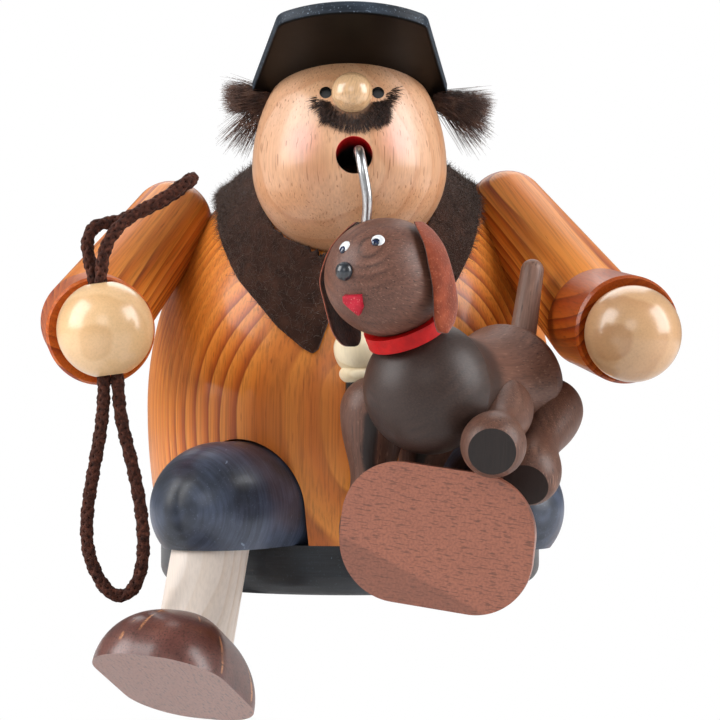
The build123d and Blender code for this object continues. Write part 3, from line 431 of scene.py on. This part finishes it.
def shoe_wood(name, seat, rays, colors, sole, field=None):
    """Dark stained wood with short dashes: pale rays on the top, and a paler sole below the frame's XY.

    The rays may be left out. The field is a plane, as a direction and a reach, past which it is darker.
    """
    wood = Surface(name, roughness=0.38, coat=0.35, coat_roughness=0.2)
    point = wood.place(seat)
    x, y, z = wood.split(point)
    dark, middle, light = colors
    color = wood.ramp(wood.noise(point, 7, 3), (0.25, dark), (0.42, middle), (0.7, light))
    if rays:
        angle = wood.math("ARCTAN2", y, x)
        around = wood.add("ShaderNodeCombineXYZ", {0: wood.math("MULTIPLY", angle, 9.0),
                                                   1: wood.math("MULTIPLY", z, 0.05)}).outputs[0]
        lines = wood.fade(wood.noise(around, 1.0, 1), 0.63, 0.68)
        gaps = wood.fade(wood.noise(point, 5, 1), 0.38, 0.5)
        gaps = wood.math("MULTIPLY", gaps, wood.fade(z, 0.6, 1.2, 0.8))
        color = wood.mix(wood.math("MULTIPLY", lines, gaps), color, rays)
    down = -seat.to_3x3().col[2]
    color = wood.mix(wood.fade(wood.facing(down), 0.9, 0.97, 0.85), color, sole)
    if field:
        edge = wood.vector("DOT_PRODUCT", wood.place(), field[:3])
        color = wood.mix(wood.fade(edge, field[3] + 0.5, field[3] - 0.5, 0.4), color, dark)
    dash = wood.fade(wood.streaks(point, (0.16, 1, 1), 0.34, 1), 0.54, 0.7, 0.75)
    color = wood.mix(dash, color, dark)
    fibre = wood.noise(point, 0.5, 3)
    color = wood.grain(color, fibre, 0.4, "#8c8c8c")
    return wood.finish(color, fibre, 0.04)


def dog_wood(name, pith, tone=("#3a251e", "#684437", "#8a5f4e"), shade=None, soles=()):
    """Stained grey-brown wood with close rings, fine cracks along the grain and a worn polish.

    The shade is the middle of a ball painted darker as shade, the soles are the ways of dark end faces.
    """
    wood = Surface(name, roughness=0.5, coat=0.12, coat_roughness=0.3, specular=0.35)
    point = wood.place(pith)
    away = wood.rings(point, 0.1, wood.streaks(point, (1, 1, 0.3), 9, 1), 2.4)
    dark, middle, light = tone
    color = wood.ramp(wood.math("FRACT", wood.math("DIVIDE", away, 1.9)), (0.0, middle), (0.5, light),
                      (0.85, dark), (1.0, middle))
    color = wood.mix(wood.fade(wood.noise(point, 9, 2), 0.25, 0.5, 0.9), color, middle)
    crack = wood.fade(wood.streaks(point, (1, 1, 0.08), 0.4, 2), 0.62, 0.72, 0.7)
    color = wood.mix(crack, color, "#1c120e")
    pale = wood.fade(wood.streaks(point, (1, 1, 0.12), 0.3, 1), 0.64, 0.74, 0.5)
    color = wood.mix(pale, color, "#a07c68")
    if shade:
        # Painted shade on the chest ball, under the dog's head
        color = wood.mix(wood.spot(wood.place(), shade, 13.2, 17.5, 0.88), color, "#2a1e1a")
    for way in soles:
        color = wood.mix(wood.fade(wood.facing(way), 0.96, 0.99), color, "#1f1411")
    fibre = wood.streaks(point, (1, 1, 0.06), 0.35, 3)
    color = wood.grain(color, fibre, 0.45, "#848484")
    return wood.finish(color, fibre, 0.05)


# Paints
def slate_paint(name, turning, dark="#2b313c", light="#56617a", speck="#74859b", below=None,
                coat=0.25, specks=0.2, specular=0.4):
    """Blue-grey paint over turned wood: fine lines round the axis, specks and a few scratches.

    Below is the way of an underside that is painted nearly black as shade.
    """
    paint = Surface(name, roughness=0.42, coat=coat, coat_roughness=0.25, specular=specular)
    point = paint.place(turning)
    color = paint.ramp(paint.noise(point, 10, 3), (0.3, dark), (0.7, light))
    lines = paint.streaks(point, (0.08, 0.08, 1), 0.55, 3)
    color = paint.mix(0.4, color, paint.ramp(lines, (0.35, "#4a4a4a"), (0.65, "#ffffff")), "MULTIPLY")
    color = paint.mix(paint.fade(paint.noise(point, 0.4, 1), 0.62, 0.78, specks), color, speck)
    scratch = paint.math("MULTIPLY", paint.fade(paint.streaks(point, (1, 0.05, 0.4), 0.7, 1), 0.7, 0.76),
                         paint.fade(paint.noise(point, 14, 0), 0.55, 0.62))
    color = paint.mix(scratch, color, speck)
    if below:
        # Painted shade: the underside is made nearly black
        color = paint.mix(paint.fade(paint.facing(below), 0.5, 0.75), color, "#050302")
    return paint.finish(color, lines, 0.05)


def red_paint(name, color_a, color_b, speck, amount):
    """Red paint with a given amount of fine pale specks."""
    paint = Surface(name, roughness=0.42, coat=0.06, coat_roughness=0.1, specular=0.2)
    point = paint.place()
    color = paint.ramp(paint.noise(point, 1.6, 3), (0.35, color_a), (0.65, color_b))
    grains = paint.noise(point, 0.32, 1)
    color = paint.mix(paint.fade(grains, 0.66, 0.72, amount), color, speck)
    return paint.finish(color, grains, 0.03)


def dark_gloss(name, color_a, color_b, roughness=0.2):
    """Glossy enamel, a little cloudy."""
    bead = Surface(name, roughness=roughness, coat=0.6, coat_roughness=0.06)
    point = bead.place()
    color = bead.ramp(bead.noise(point, 1.1, 3), (0.35, color_a), (0.65, color_b))
    return bead.finish(color, bead.noise(point, 0.3, 2), 0.01)


def metal(name, color_a, color_b, roughness, way=(0, 0, 1)):
    """Drawn or rolled metal with fine lines along the way."""
    steel = Surface(name, roughness=roughness, metallic=1.0)
    point = steel.place(axes((0, 0, 0), way, (0.9, 0.1, 0.3)))
    lines = steel.streaks(point, (1, 1, 0.05), 0.25, 2)
    return steel.finish(steel.ramp(lines, (0.3, color_a), (0.7, color_b)), lines, 0.003)


# Cloth, fur, leather and cord
def felt():
    """Dark brown wool felt."""
    cloth = Surface("felt_wool", roughness=0.95, sheen=0.12, specular=0.1)
    point = cloth.place()
    color = cloth.ramp(cloth.noise(point, 3.5, 4), (0.3, "#27160f"), (0.55, "#382219"), (0.8, "#4a3024"))
    wool = cloth.noise(point, 0.35, 3)
    color = cloth.mix(cloth.fade(wool, 0.6, 0.75, 0.4), color, "#5a3e30")
    return cloth.finish(color, wool, 0.3)


def strands(name, root, middle, tip, size):
    """Hair in three tones that change over lumps of the given size."""
    hair = Surface(name, roughness=0.55, specular=0.4, sheen=0.1)
    point = hair.place()
    color = hair.ramp(hair.noise(point, size, 3), (0.3, root), (0.55, middle), (0.8, tip))
    return hair.finish(color)


def suede(name, out):
    """Rust suede outside; the inside, which faces the head, is painted dark brown as shade."""
    hide = Surface(name, roughness=0.85, sheen=0.25, specular=0.2)
    point = hide.place()
    nap = hide.noise(point, 0.4, 4)
    color = hide.ramp(hide.noise(point, 2.6, 3), (0.3, "#6e2c14"), (0.55, "#84391f"), (0.8, "#984a2c"))
    color = hide.mix(hide.fade(nap, 0.58, 0.7, 0.5), color, "#b06a4a")
    inner = hide.ramp(hide.noise(point, 1.2, 4), (0.3, "#281510"), (0.7, "#4a2a1e"))
    # Painted shade on the side that faces the head
    color = hide.mix(hide.fade(hide.facing(out), 0.15, -0.25), color, inner)
    return hide.finish(color, nap, 0.12)


def braid():
    """Dark brown yarn of the leash."""
    yarn = Surface("leash_yarn", roughness=0.75, sheen=0.04, specular=0.15)
    point = yarn.place()
    color = yarn.ramp(yarn.noise(point, 0.9, 3), (0.3, "#26110c"), (0.55, "#44241a"), (0.8, "#66392b"))
    return yarn.finish(color, yarn.noise(point, 0.12, 2), 0.05)


def dress(material, *nodes):
    """Gives each named CAD node one material."""
    for node in nodes:
        data = NODES[node].data
        data.materials.clear()
        data.materials.append(material)


# Each node's finish, with the frame of its grain, its turning or its sole
JACKET_PITH = axes((-9, 96, 0), (0.01, -0.03, 1))
BELLY = (-9.5, -43, 36)
dress(larch("jacket_larch", JACKET_PITH, field=BELLY), "jacket")
# Each sleeve gets a tint; the left one is darker, as painted shade on the figure's left side
for side, hand, tint_and_side_shade in (("right", -1, "#e0b8a8"), ("left", 1, "#c0977f")):
    arm = axes((hand * 20, 40, 90), (hand * 0.39, -0.85, -0.62))
    sleeve = axes((hand * 74, -38, 20), (0.1 * hand, -0.99, -0.06))
    dress(larch(side + "_arm_larch", arm, spacing=1.5, soft=0.6), side + "_upper_arm")
    dress(larch(side + "_sleeve_larch", sleeve, spacing=2.0, tint=tint_and_side_shade), side + "_sleeve")

RIGHT_KNEE = axes((-26, -43, 18.2), (-0.5165, -0.8563, 0))
LEFT_KNEE = axes((29, -41, 18.2), (0.5779, -0.8161, 0))
CAP_TILT = math.radians(22)
CAP_WAY = (0, math.sin(CAP_TILT), math.cos(CAP_TILT))
CAP_UNDERSIDE = tuple(-share for share in CAP_WAY)
dress(slate_paint("base_slate", axes((0, 0, 0), UP), "#14171b", "#252b33", "#4d5a68"), "seat_base")
dress(slate_paint("right_knee_slate", RIGHT_KNEE), "right_thigh")
dress(slate_paint("left_knee_slate", LEFT_KNEE), "left_thigh")
dress(slate_paint("cap_slate", axes((0, -28, 102), CAP_WAY), "#20242a", "#3a434e", "#7d8a9a",
                  below=CAP_UNDERSIDE, coat=0.02, specks=0.7, specular=0.12), "cap_crown", "cap_visor")
dress(face_wood(), "head")

MAPLE = ("#deb78c", "#d9b085", "#d0a578")
RIGHT_BALL = ("#e2bb8c", "#deb585", "#d8ad7c")
# The left ball's tones are darker than the right one's, as painted shade on the figure's left side
LEFT_BALL_SHADED = ("#c59d74", "#c0966d", "#b78b62")
SHIN = ("#f6e9df", "#f1e2d5", "#e6d2c0")
BOWL = ("#f0e1c2", "#eadab8", "#dcc79e")
dress(plain_wood("nose_maple", axes((3, -40, 110), (0.2, 0.2, 1)), MAPLE, 0.25, 0.6), "nose")
for side, hand, tone in (("right", -1, RIGHT_BALL), ("left", 1, LEFT_BALL_SHADED)):
    ball = axes((hand * 50, -52, 50), (0.1, -1, 0.1))
    dress(plain_wood(side + "_ball_maple", ball, tone, roughness=0.3, coat=0.5, ring=6.5, flecks=0.08,
                     fibres=0.14), side + "_hand")
DOWELS = [row["node"] for row in SUBPARTS if row["material_slot"] == "maple"
          and row["node"] not in ("nose", "right_hand", "left_hand")]
dress(plain_wood("dowel_maple", axes((0, 0, 0), (0, 1, 0.2)), MAPLE), *DOWELS)
dress(plain_wood("shin_maple", axes((0, -30, 0), (0, 0.8, 1)), SHIN, roughness=0.5, coat=0.1, flecks=0.05,
                 fibres=0.12), "right_shin", "left_shin")
dress(plain_wood("bowl_maple", axes((3, -40, 40), UP), BOWL, roughness=0.45, coat=0.15, flecks=0.05,
                 fibres=0.1), "pipe_bowl")

RIGHT_SOLE = axes((-33.98, -63.97, -15.7), (0.187, 0.388, 0.902), (-0.291, -0.855, 0.428))
LEFT_SOLE = axes((16.47, -79.95, 14.4), (0.307, 0.948, 0.093), (-0.94, 0.3, 0.135))
dress(shoe_wood("right_shoe_wood", RIGHT_SOLE, "#c98a5e", ("#3a1f1a", "#5c342d", "#74463c"), "#8e5c4c"),
      "right_shoe")
dress(shoe_wood("left_shoe_wood", LEFT_SOLE, None, ("#5e3628", "#8a5240", "#9c5f4a"), "#9a5b44",
                field=(0.529, 0, 1, 13.8)), "left_shoe")

DOG_LEGS = [row["node"] for row in SUBPARTS if row["node"].startswith("dog_leg")]
DOG_CHEST = (15.5, -75, 42.7)
PAW_WAYS = [Vector(way).normalized() for way in ((-0.098, -0.963, -0.253), (-0.225, -0.843, -0.484))]
dress(dog_wood("dog_body_wood", axes((22, -60, 52), (-0.48, -0.87, 0)), ("#38251e", "#6a493c", "#8a6252"),
               shade=DOG_CHEST), "dog_body")
dress(dog_wood("dog_head_wood", axes((12, -84, 68), (-0.617, -0.785, 0.064))), "dog_head")
dress(dog_wood("dog_leg_wood", axes((10, -70, 40), (0, -0.3, 1)), ("#38231c", "#604033", "#805948"),
               soles=PAW_WAYS), *DOG_LEGS)
dress(dog_wood("dog_tail_wood", axes((38, -44, 50), (0.15, 0.12, 0.98)), ("#4a3026", "#7c5c4e", "#9a7866")),
      "dog_tail")
dress(dark_gloss("nose_bead", "#101215", "#2a3038", roughness=0.35), "dog_nose")
dress(dark_gloss("foot_bead", "#080808", "#1c1a19"), "pipe_foot")
dress(red_paint("tongue_red", "#a01428", "#bc2036", "#e8a8a0", 0.5), "dog_tongue")
dress(red_paint("collar_red", "#a40406", "#bc0a0a", "#d0342c", 0.15), "dog_collar")
dress(metal("pipe_steel", "#b9babc", "#d2d3d5", 0.3, (0, 0.3, 1)), "pipe_stem")
dress(metal("plate_brass", "#8c8c86", "#bcbcb4", 0.35), "incense_plate")
dress(metal("screw_steel", "#6e6e70", "#a4a4a6", 0.3), "plate_screw")
YARN = braid()
for cord in LEASH:
    cord.data.materials.append(YARN)


# Fur and cloth are laid on surfaces that are found on the CAD meshes
def tree_of(node):
    """The node's surface in millimetres, ready to be met by rays."""
    from_mesh = bmesh.new()
    from_mesh.from_mesh(NODES[node].data)
    from_mesh.transform(NODES[node].matrix_world)
    from_mesh.transform(Matrix.Scale(1 / MM, 4))
    tree = BVHTree.FromBMesh(from_mesh)
    from_mesh.free()
    return tree


HEAD_TREE = tree_of("head")
STRAND_RINGS = 5
STRAND_SIDES = 3


def strand(root, way, length, thick, bend, store):
    """One tapered hair of three sides that starts along its way and bends."""
    verts, faces = store
    first = len(verts)
    way = Vector(way).normalized()
    point = Vector(root)
    for i in range(STRAND_RINGS):
        side = way.orthogonal().normalized()
        other = way.cross(side)
        radius = thick * (1 - 0.8 * i / (STRAND_RINGS - 1))
        for k in range(STRAND_SIDES):
            turn = 2 * math.pi * k / STRAND_SIDES
            verts.append(point + (side * math.cos(turn) + other * math.sin(turn)) * radius)
        if i:
            bridge(faces, first + STRAND_SIDES * (i - 1), STRAND_SIDES)
        point = point + way * length / (STRAND_RINGS - 1)
        way = (way + Vector(bend) / (STRAND_RINGS - 1)).normalized()
    last = first + STRAND_SIDES * (STRAND_RINGS - 1)
    faces.append(tuple(first + k for k in reversed(range(STRAND_SIDES))))
    faces.append(tuple(last + k for k in range(STRAND_SIDES)))


SEED = 11
dice = random.Random(SEED)

# Fur moustache: a dense crescent of bristles under the nose, and a thin wing to each side
NOSE = Vector((0.55, -49.0, 101.35))
MOUSTACHE_HAIRS = 5200
MOUSTACHE_X = 1.2
MOUSTACHE_Z = 97.2
CRESCENT_HALF = 5.9
WING_HALF = 8.0
WING_SHARE = 0.12


def make_moustache():
    """Bristles that start on the head and point away from the nose, the outer ones more to the side."""
    store = ([], [])
    for _ in range(MOUSTACHE_HAIRS):
        wing = dice.random() < WING_SHARE
        share = dice.uniform(-1, 1)
        across = dice.uniform(-1, 1)
        x = MOUSTACHE_X + (WING_HALF if wing else CRESCENT_HALF) * share
        if wing:
            z = MOUSTACHE_Z + 2.6 * abs(share) ** 1.5 + 2.0 * max(share, 0.0) + across * 1.2
        else:
            z = MOUSTACHE_Z + 2.6 * abs(0.5 * share) ** 1.5 + across * (2.7 - 0.9 * abs(share))
        root = HEAD_TREE.ray_cast(Vector((x, -80, z)), Vector((0, 1, 0)))[0]
        if root is None:
            continue
        way = Vector((x - NOSE.x, 0, z - NOSE.z - 3.0 + 3.4 * abs(share))).normalized()
        way = way + Vector([dice.uniform(-0.35, 0.35) for _ in range(3)]) + Vector((0, -0.6, 0))
        strand(root + Vector((0, 0.3, 0)), way, dice.uniform(1.2, 2.6), dice.uniform(0.06, 0.12),
               (0, 0.35, -0.2), store)
    moustache = piece(new_mesh("fur_moustache", *store), "upper", "fur", "moustache")
    moustache.data.materials.append(strands("moustache_fur", "#1c0f0a", "#3a241a", "#755040", 0.7))


# Fur tufts at the temples: side, name, CAD node, root, then the angles and length of the dense short
# hairs and of the sparse long ones
TUFT_HAIRS = 1700
LONG_SHARE = 0.13
TUFTS = ((-1, "right_fur", "right_hair_tuft", (-17.6, -29.4, 102.0), (-18, 20), 8.8, (-70, -36), 13.0),
         (1, "left_fur", "left_hair_tuft", (19.6, -29.4, 101.6), (-36, 6), 10.4, (-60, -28), 13.0))


def make_tuft(hand, name, node, root, dense, short, sparse, long):
    """One tuft that fans out from the temple."""
    store = ([], [])
    for _ in range(TUFT_HAIRS):
        wide = dice.random() < LONG_SHARE
        angle = math.radians(dice.uniform(*(sparse if wide else dense)))
        shift = (dice.uniform(-2.4, 0.8) * hand, dice.gauss(0, 1.0), dice.gauss(0, 0.9))
        start = Vector(root) + Vector(shift)
        way = Vector((hand * math.cos(angle), dice.gauss(-0.05, 0.14), math.sin(angle)))
        strand(start, way, (long if wide else short) * dice.uniform(0.84, 1.0), dice.uniform(0.045, 0.09),
               (0, dice.uniform(-0.12, 0.12), dice.uniform(-0.22, 0.12)), store)
    tuft = piece(new_mesh(name, *store), "upper", "fur", node)
    tuft.data.materials.append(strands(name + "_hair", "#2e1c15", "#583c30", "#8f6a55", 2.0))


make_moustache()
for tuft_row in TUFTS:
    make_tuft(*tuft_row)


# Felt collar: cut cloth with pointed tips that lies over the jacket's dome round the neck. Places on
# the dome are shares of its radius; the hem's rows are a side share and a height share
DOME_RADIUS = 43.9
DOME_FOOT = 38.0
DOME_HEIGHT = 57.0
FELT_HALF = 0.612
FELT_LOW = ((-FELT_HALF, 0.73), (-0.609, 0.675), (-0.598, 0.625), (-0.575, 0.572), (-0.54, 0.51),
            (-0.5, 0.452), (-0.315, 0.282), (-0.217, 0.218), (-0.168, 0.196), (-0.139, 0.212),
            (-0.102, 0.292), (-0.05, 0.388), (0, 0.455))
FELT_TURN = 0.97  # the left half's width as a share of the right half's
FELT_BACK = 0.4556  # how far the cloth reaches back from the dome's middle
FELT_BACK_RISE = 0.814  # the lowest height of its back edge
FELT_LIFT = 0.35  # millimetres above the dome
FELT_THICK = 1.3
FELT_GAP = 0.12  # least distance from the head
FELT_COLUMNS = 150
FELT_ROWS = 90
FUZZ_HAIRS = 14000


def felt_hem(x):
    """The lower hem's height share at a side share."""
    place = -abs(x) / (FELT_TURN if x > 0 else 1.0)
    for (a, low), (b, high) in zip(FELT_LOW, FELT_LOW[1:]):
        if a <= place <= b:
            return low + (high - low) * (place - a) / (b - a)
    return FELT_LOW[0][1]


def dome_place(x, angle, lift):
    """The point on the dome at a side share and an angle from the front over the top, raised by lift."""
    rho = math.sqrt(1 - x * x)
    share = Vector((x, -rho * math.cos(angle), rho * math.sin(angle)))
    point = Vector((share.x * DOME_RADIUS, share.y * DOME_RADIUS, DOME_FOOT + share.z * DOME_HEIGHT))
    normal = Vector((share.x / DOME_RADIUS, share.y / DOME_RADIUS, share.z / DOME_HEIGHT)).normalized()
    return point + normal * lift, normal


def felt_column(i):
    """The side share of a column, and the angles over the dome of its front hem and its back edge."""
    x = FELT_HALF * math.sin(math.pi * (i / FELT_COLUMNS - 0.5))
    x = x * (FELT_TURN if x > 0 else 1.0)
    rho = math.sqrt(1 - x * x)
    low = math.asin(min(1.0, felt_hem(x) / rho))
    back = max(math.acos(min(1.0, FELT_BACK / rho)), math.asin(min(1.0, FELT_BACK_RISE / rho)))
    return x, low, max(math.pi / 2 + 0.12, math.pi - back)


def felt_mesh():
    """The cloth's under side, open round the neck, and its area in square metres."""
    verts, normals, faces = [], [], []
    for i in range(FELT_COLUMNS + 1):
        x, low, high = felt_column(i)
        for j in range(FELT_ROWS + 1):
            angle = low + (high - low) * j / FELT_ROWS
            ripple = 0.35 * noise.noise(Vector((x * 9, angle * 5, 2.0)))
            point, normal = dome_place(x, angle, FELT_LIFT + ripple * 0.5)
            verts.append(point)
            normals.append(normal)
    for i in range(FELT_COLUMNS):
        for j in range(FELT_ROWS):
            a = i * (FELT_ROWS + 1) + j
            faces.append((a, a + FELT_ROWS + 1, a + FELT_ROWS + 2, a + 1))
    # Faces that the head would cut through are left out
    tops = [point + normal * FELT_THICK * 0.7 for point, normal in zip(verts, normals)]
    inside = [(top - near[0]).dot(near[1]) < FELT_GAP
              for top, near in zip(tops, map(HEAD_TREE.find_nearest, tops))]
    cut = bmesh.new()
    under = [cut.verts.new(point * MM) for point in verts]
    for face in faces:
        if not any(inside[k] for k in face):
            cut.faces.new([under[k] for k in face])
    bmesh.ops.delete(cut, geom=[vertex for vertex in cut.verts if not vertex.link_faces], context="VERTS")
    area = sum(face.calc_area() for face in cut.faces)
    bmesh.ops.recalc_face_normals(cut, faces=cut.faces)
    mesh = bpy.data.meshes.new("felt_cloth")
    cut.to_mesh(mesh)
    cut.free()
    mesh.polygons.foreach_set("use_smooth", [True] * len(mesh.polygons))
    return mesh, area


def make_felt():
    """The cloth with its thickness, and short hairs that stand out of it."""
    mesh, area = felt_mesh()
    cloth = new_object("felt_cloth", mesh)
    thickness = cloth.modifiers.new("thickness", "SOLIDIFY")
    thickness.thickness = FELT_THICK * MM
    thickness.offset = 1.0
    piece(cloth, "upper", "felt", "felt_collar")
    mesh.materials.append(felt())
    store = ([], [])
    for _ in range(FUZZ_HAIRS):
        face = mesh.polygons[dice.randrange(len(mesh.polygons))]
        root = face.center / MM + face.normal * FELT_THICK * 0.96
        way = Vector([dice.gauss(0, 1) for _ in range(3)]).cross(face.normal)
        way = way + face.normal * dice.uniform(0.05, 0.6)
        strand(root, way, dice.uniform(0.8, 2.6), 0.05, [dice.uniform(-1.2, 1.2) for _ in range(3)], store)
    fuzz = piece(new_mesh("felt_fuzz", *store), "upper", "felt")
    fuzz.data.materials.append(strands("felt_hair", "#2a1a13", "#4a3429", "#7a6250", 0.6))


make_felt()


# Leather ears: rows of height, reach, shift to the back and half width, from the head's middle
DOG_HEAD = Vector((7.37, -83.45, 63.45))
EAR_BACK = Vector((0.618, 0.786, 0))
EAR_THICK = 0.55
EAR_SIDES = 28
EAR_STEPS = 8
RIGHT_EAR = ((10.5, 6.5, -1, 0.9), (9, 8, -1, 2), (5, 11.6, -0.7, 3.2), (0, 13.4, 0, 4.2),
             (-5, 13.3, 1.5, 4.5), (-10, 12.5, 2.6, 4.3), (-12.3, 12.2, 3.3, 2.8), (-12.9, 12.1, 3.5, 1.0))
LEFT_EAR = ((10.2, 7.5, 0, 1.0), (8.6, 9.2, -0.1, 2.2), (5, 11.9, -0.4, 2.9), (0.5, 12.7, 0.4, 3.3),
            (-4, 12.6, 1.7, 3.5), (-8, 12.6, 1.5, 3.0), (-10, 12.5, 1.2, 1.7), (-10.5, 12.5, 1.1, 0.6))


def smooth_rows(rows, steps):
    """Rows between the given ones on a smooth line through them."""
    rows = [Vector(row) for row in rows]
    fine = []
    for i in range(len(rows) - 1):
        a, b, c, d = rows[max(i - 1, 0)], rows[i], rows[i + 1], rows[min(i + 2, len(rows) - 1)]
        for k in range(steps):
            t = k / steps
            fine.append(0.5 * (2 * b + (c - a) * t + (2 * a - 5 * b + 4 * c - d) * t ** 2
                               + (3 * b - a - 3 * c + d) * t ** 3))
    fine.append(rows[-1])
    return fine


def leather_ear(name, rows, out, node):
    """A leather flap with rounded edges that hollows towards the head; out is the way off the head."""
    verts, faces = [], []
    out = Vector(out)
    fine = smooth_rows(rows, EAR_STEPS)
    for z, reach, back, half in fine:
        for k in range(EAR_SIDES):
            turn = 2 * math.pi * k / EAR_SIDES
            across = math.copysign(abs(math.cos(turn)) ** 0.6, math.cos(turn))
            thick = EAR_THICK * math.copysign(abs(math.sin(turn)) ** 0.6, math.sin(turn))
            wave = 0.25 * noise.noise(Vector((across * 1.2, z * 0.2, reach * 0.1)))
            bulge = reach + thick + wave - 0.5 * across * across
            verts.append(DOG_HEAD + out * bulge + EAR_BACK * (back + half * across) + UP * z)
    last = (len(fine) - 1) * EAR_SIDES
    for ring in range(0, last, EAR_SIDES):
        bridge(faces, ring, EAR_SIDES)
    faces.append(tuple(reversed(range(EAR_SIDES))))
    faces.append(tuple(last + k for k in range(EAR_SIDES)))
    ear = new_mesh(name, verts, faces)
    fix = bmesh.new()
    fix.from_mesh(ear.data)
    bmesh.ops.recalc_face_normals(fix, faces=fix.faces)
    fix.to_mesh(ear.data)
    fix.free()
    ear.data.materials.append(suede(name + "_suede", out))
    piece(ear, "seat", "leather", node)


leather_ear("leather_ear_right", RIGHT_EAR, (-0.786, 0.618, 0), "dog_ear_right")
leather_ear("leather_ear_left", LEFT_EAR, (0.786, -0.618, 0), "dog_ear_left")


# Dog's eyes: small domed white discs with a blue-black pupil
DOG_RADIUS = 11.15
DOG_TREE = tree_of("dog_head")
EYE_SIDES = 32


def eye_disc(name, x, z, radius, rise, material):
    """A small dome on the dog's head where a line to the back at x and z meets it.

    The profile's rows are a radius and a height, from the edge to the top; the edge is set in the wood.
    """
    place, way = DOG_TREE.ray_cast(Vector((x, -130, z)), Vector((0, 1, 0)))[:2]
    seat = axes(place, way, (0.3, 0, 1))
    profile = ((radius, -0.9), (radius, -0.02), (radius * 0.93, rise * 0.5), (radius * 0.7, rise * 0.86),
               (radius * 0.35, rise))
    verts, faces = [], []
    for r, h in profile:
        sag = DOG_RADIUS - math.sqrt(DOG_RADIUS ** 2 - r * r)
        for k in range(EYE_SIDES):
            turn = 2 * math.pi * k / EYE_SIDES
            verts.append(seat @ Vector((r * math.cos(turn), r * math.sin(turn), h - sag * 0.6)))
    last = (len(profile) - 1) * EYE_SIDES
    for ring in range(0, last, EYE_SIDES):
        bridge(faces, ring, EYE_SIDES)
    faces.append(tuple(last + k for k in range(EYE_SIDES)))
    faces.append(tuple(reversed(range(EYE_SIDES))))
    disc = new_mesh(name, verts, faces)
    disc.data.materials.append(material)
    piece(disc, "seat", "bead_black")


def eye_white():
    """White enamel, a little cloudy."""
    white = Surface("eye_white", roughness=0.3, coat=0.5)
    point = white.place()
    return white.finish(white.ramp(white.noise(point, 0.8, 2), (0.3, "#c9cdd2"), (0.6, "#eceef0")))


WHITE = eye_white()
PUPIL = dark_gloss("eye_pupil", "#0b0f1c", "#1d2c4e", roughness=0.12)
eye_disc("eye_white_left", 5.5, 70.0, 1.25, 0.3, WHITE)
eye_disc("eye_pupil_left", 5.1, 69.6, 0.85, 0.45, PUPIL)
eye_disc("eye_white_right", -0.7, 68.9, 1.25, 0.3, WHITE)
eye_disc("eye_pupil_right", -0.95, 68.3, 0.8, 0.45, PUPIL)


# Stage: a white ledge under the seat, a lower floor in front of it and soft studio light
BOARD_SHADE = 0.78
STAGE_REACH = 900
LEDGE_EDGE = -34
LEDGE_TOP = -0.02
FLOOR_TOP = -60
FLOOR_THICK = 20
WORLD_LEVEL = 0.2
BACKDROP_LEVEL = 1.0
AIM = (0, -20, 50)


def stage_material():
    """White to the camera, a plain pale board to the object."""
    material = bpy.data.materials.new("stage_white")
    material.use_nodes = True
    tree = material.node_tree
    tree.nodes.clear()
    output = tree.nodes.new("ShaderNodeOutputMaterial")
    mix = tree.nodes.new("ShaderNodeMixShader")
    diffuse = tree.nodes.new("ShaderNodeBsdfDiffuse")
    glow = tree.nodes.new("ShaderNodeEmission")
    path = tree.nodes.new("ShaderNodeLightPath")
    diffuse.inputs["Color"].default_value = (BOARD_SHADE, BOARD_SHADE, BOARD_SHADE, 1)
    tree.links.new(path.outputs["Is Camera Ray"], mix.inputs[0])
    tree.links.new(diffuse.outputs[0], mix.inputs[1])
    tree.links.new(glow.outputs[0], mix.inputs[2])
    tree.links.new(mix.outputs[0], output.inputs[0])
    return material


def slab(name, low, high, material):
    """A block of the stage between two corners."""
    mesh = bpy.data.meshes.new(name)
    grid = bmesh.new()
    bmesh.ops.create_cube(grid, size=1.0)
    for vertex in grid.verts:
        vertex.co = Vector([(a + b) / 2 + c * (b - a) for a, b, c in zip(low, high, vertex.co)]) * MM
    grid.to_mesh(mesh)
    grid.free()
    mesh.materials.append(material)
    new_object(name, mesh)


def soft_light(name, place, target, size, power):
    """A rectangular lamp; size is in metres and power in watts."""
    data = bpy.data.lights.new(name, "AREA")
    data.shape = "RECTANGLE"
    data.size, data.size_y = size
    data.energy = power
    lamp = new_object(name, data)
    lamp.location = Vector(place) * MM
    lamp.rotation_euler = (Vector(target) - Vector(place)).to_track_quat("-Z", "Y").to_euler()


def make_world():
    """White to the camera, a weak even light to the object."""
    world = bpy.data.worlds.new("studio")
    bpy.context.scene.world = world
    world.use_nodes = True
    background = world.node_tree.nodes["Background"]
    background.inputs["Color"].default_value = (1, 1, 1, 1)
    path = world.node_tree.nodes.new("ShaderNodeLightPath")
    level = world.node_tree.nodes.new("ShaderNodeMapRange")
    level.inputs["To Min"].default_value = WORLD_LEVEL
    level.inputs["To Max"].default_value = BACKDROP_LEVEL
    world.node_tree.links.new(path.outputs["Is Camera Ray"], level.inputs["Value"])
    world.node_tree.links.new(level.outputs["Result"], background.inputs["Strength"])


BOARD = stage_material()
slab("ledge", (-STAGE_REACH, LEDGE_EDGE, FLOOR_TOP), (STAGE_REACH, STAGE_REACH, LEDGE_TOP), BOARD)
slab("floor", (-STAGE_REACH, -STAGE_REACH, FLOOR_TOP - FLOOR_THICK), (STAGE_REACH, STAGE_REACH, FLOOR_TOP),
     BOARD)
make_world()
soft_light("left", (-500, -210, 330), AIM, (0.4, 0.55), 4.4)
soft_light("right", (520, -190, 300), AIM, (0.35, 0.5), 4.2)
soft_light("front", (-60, -700, 300), AIM, (0.3, 0.3), 0.7)
soft_light("back", (0, 420, 520), (0, 0, 60), (0.5, 0.5), 1.6)
bpy.context.scene.view_settings.view_transform = "Standard"
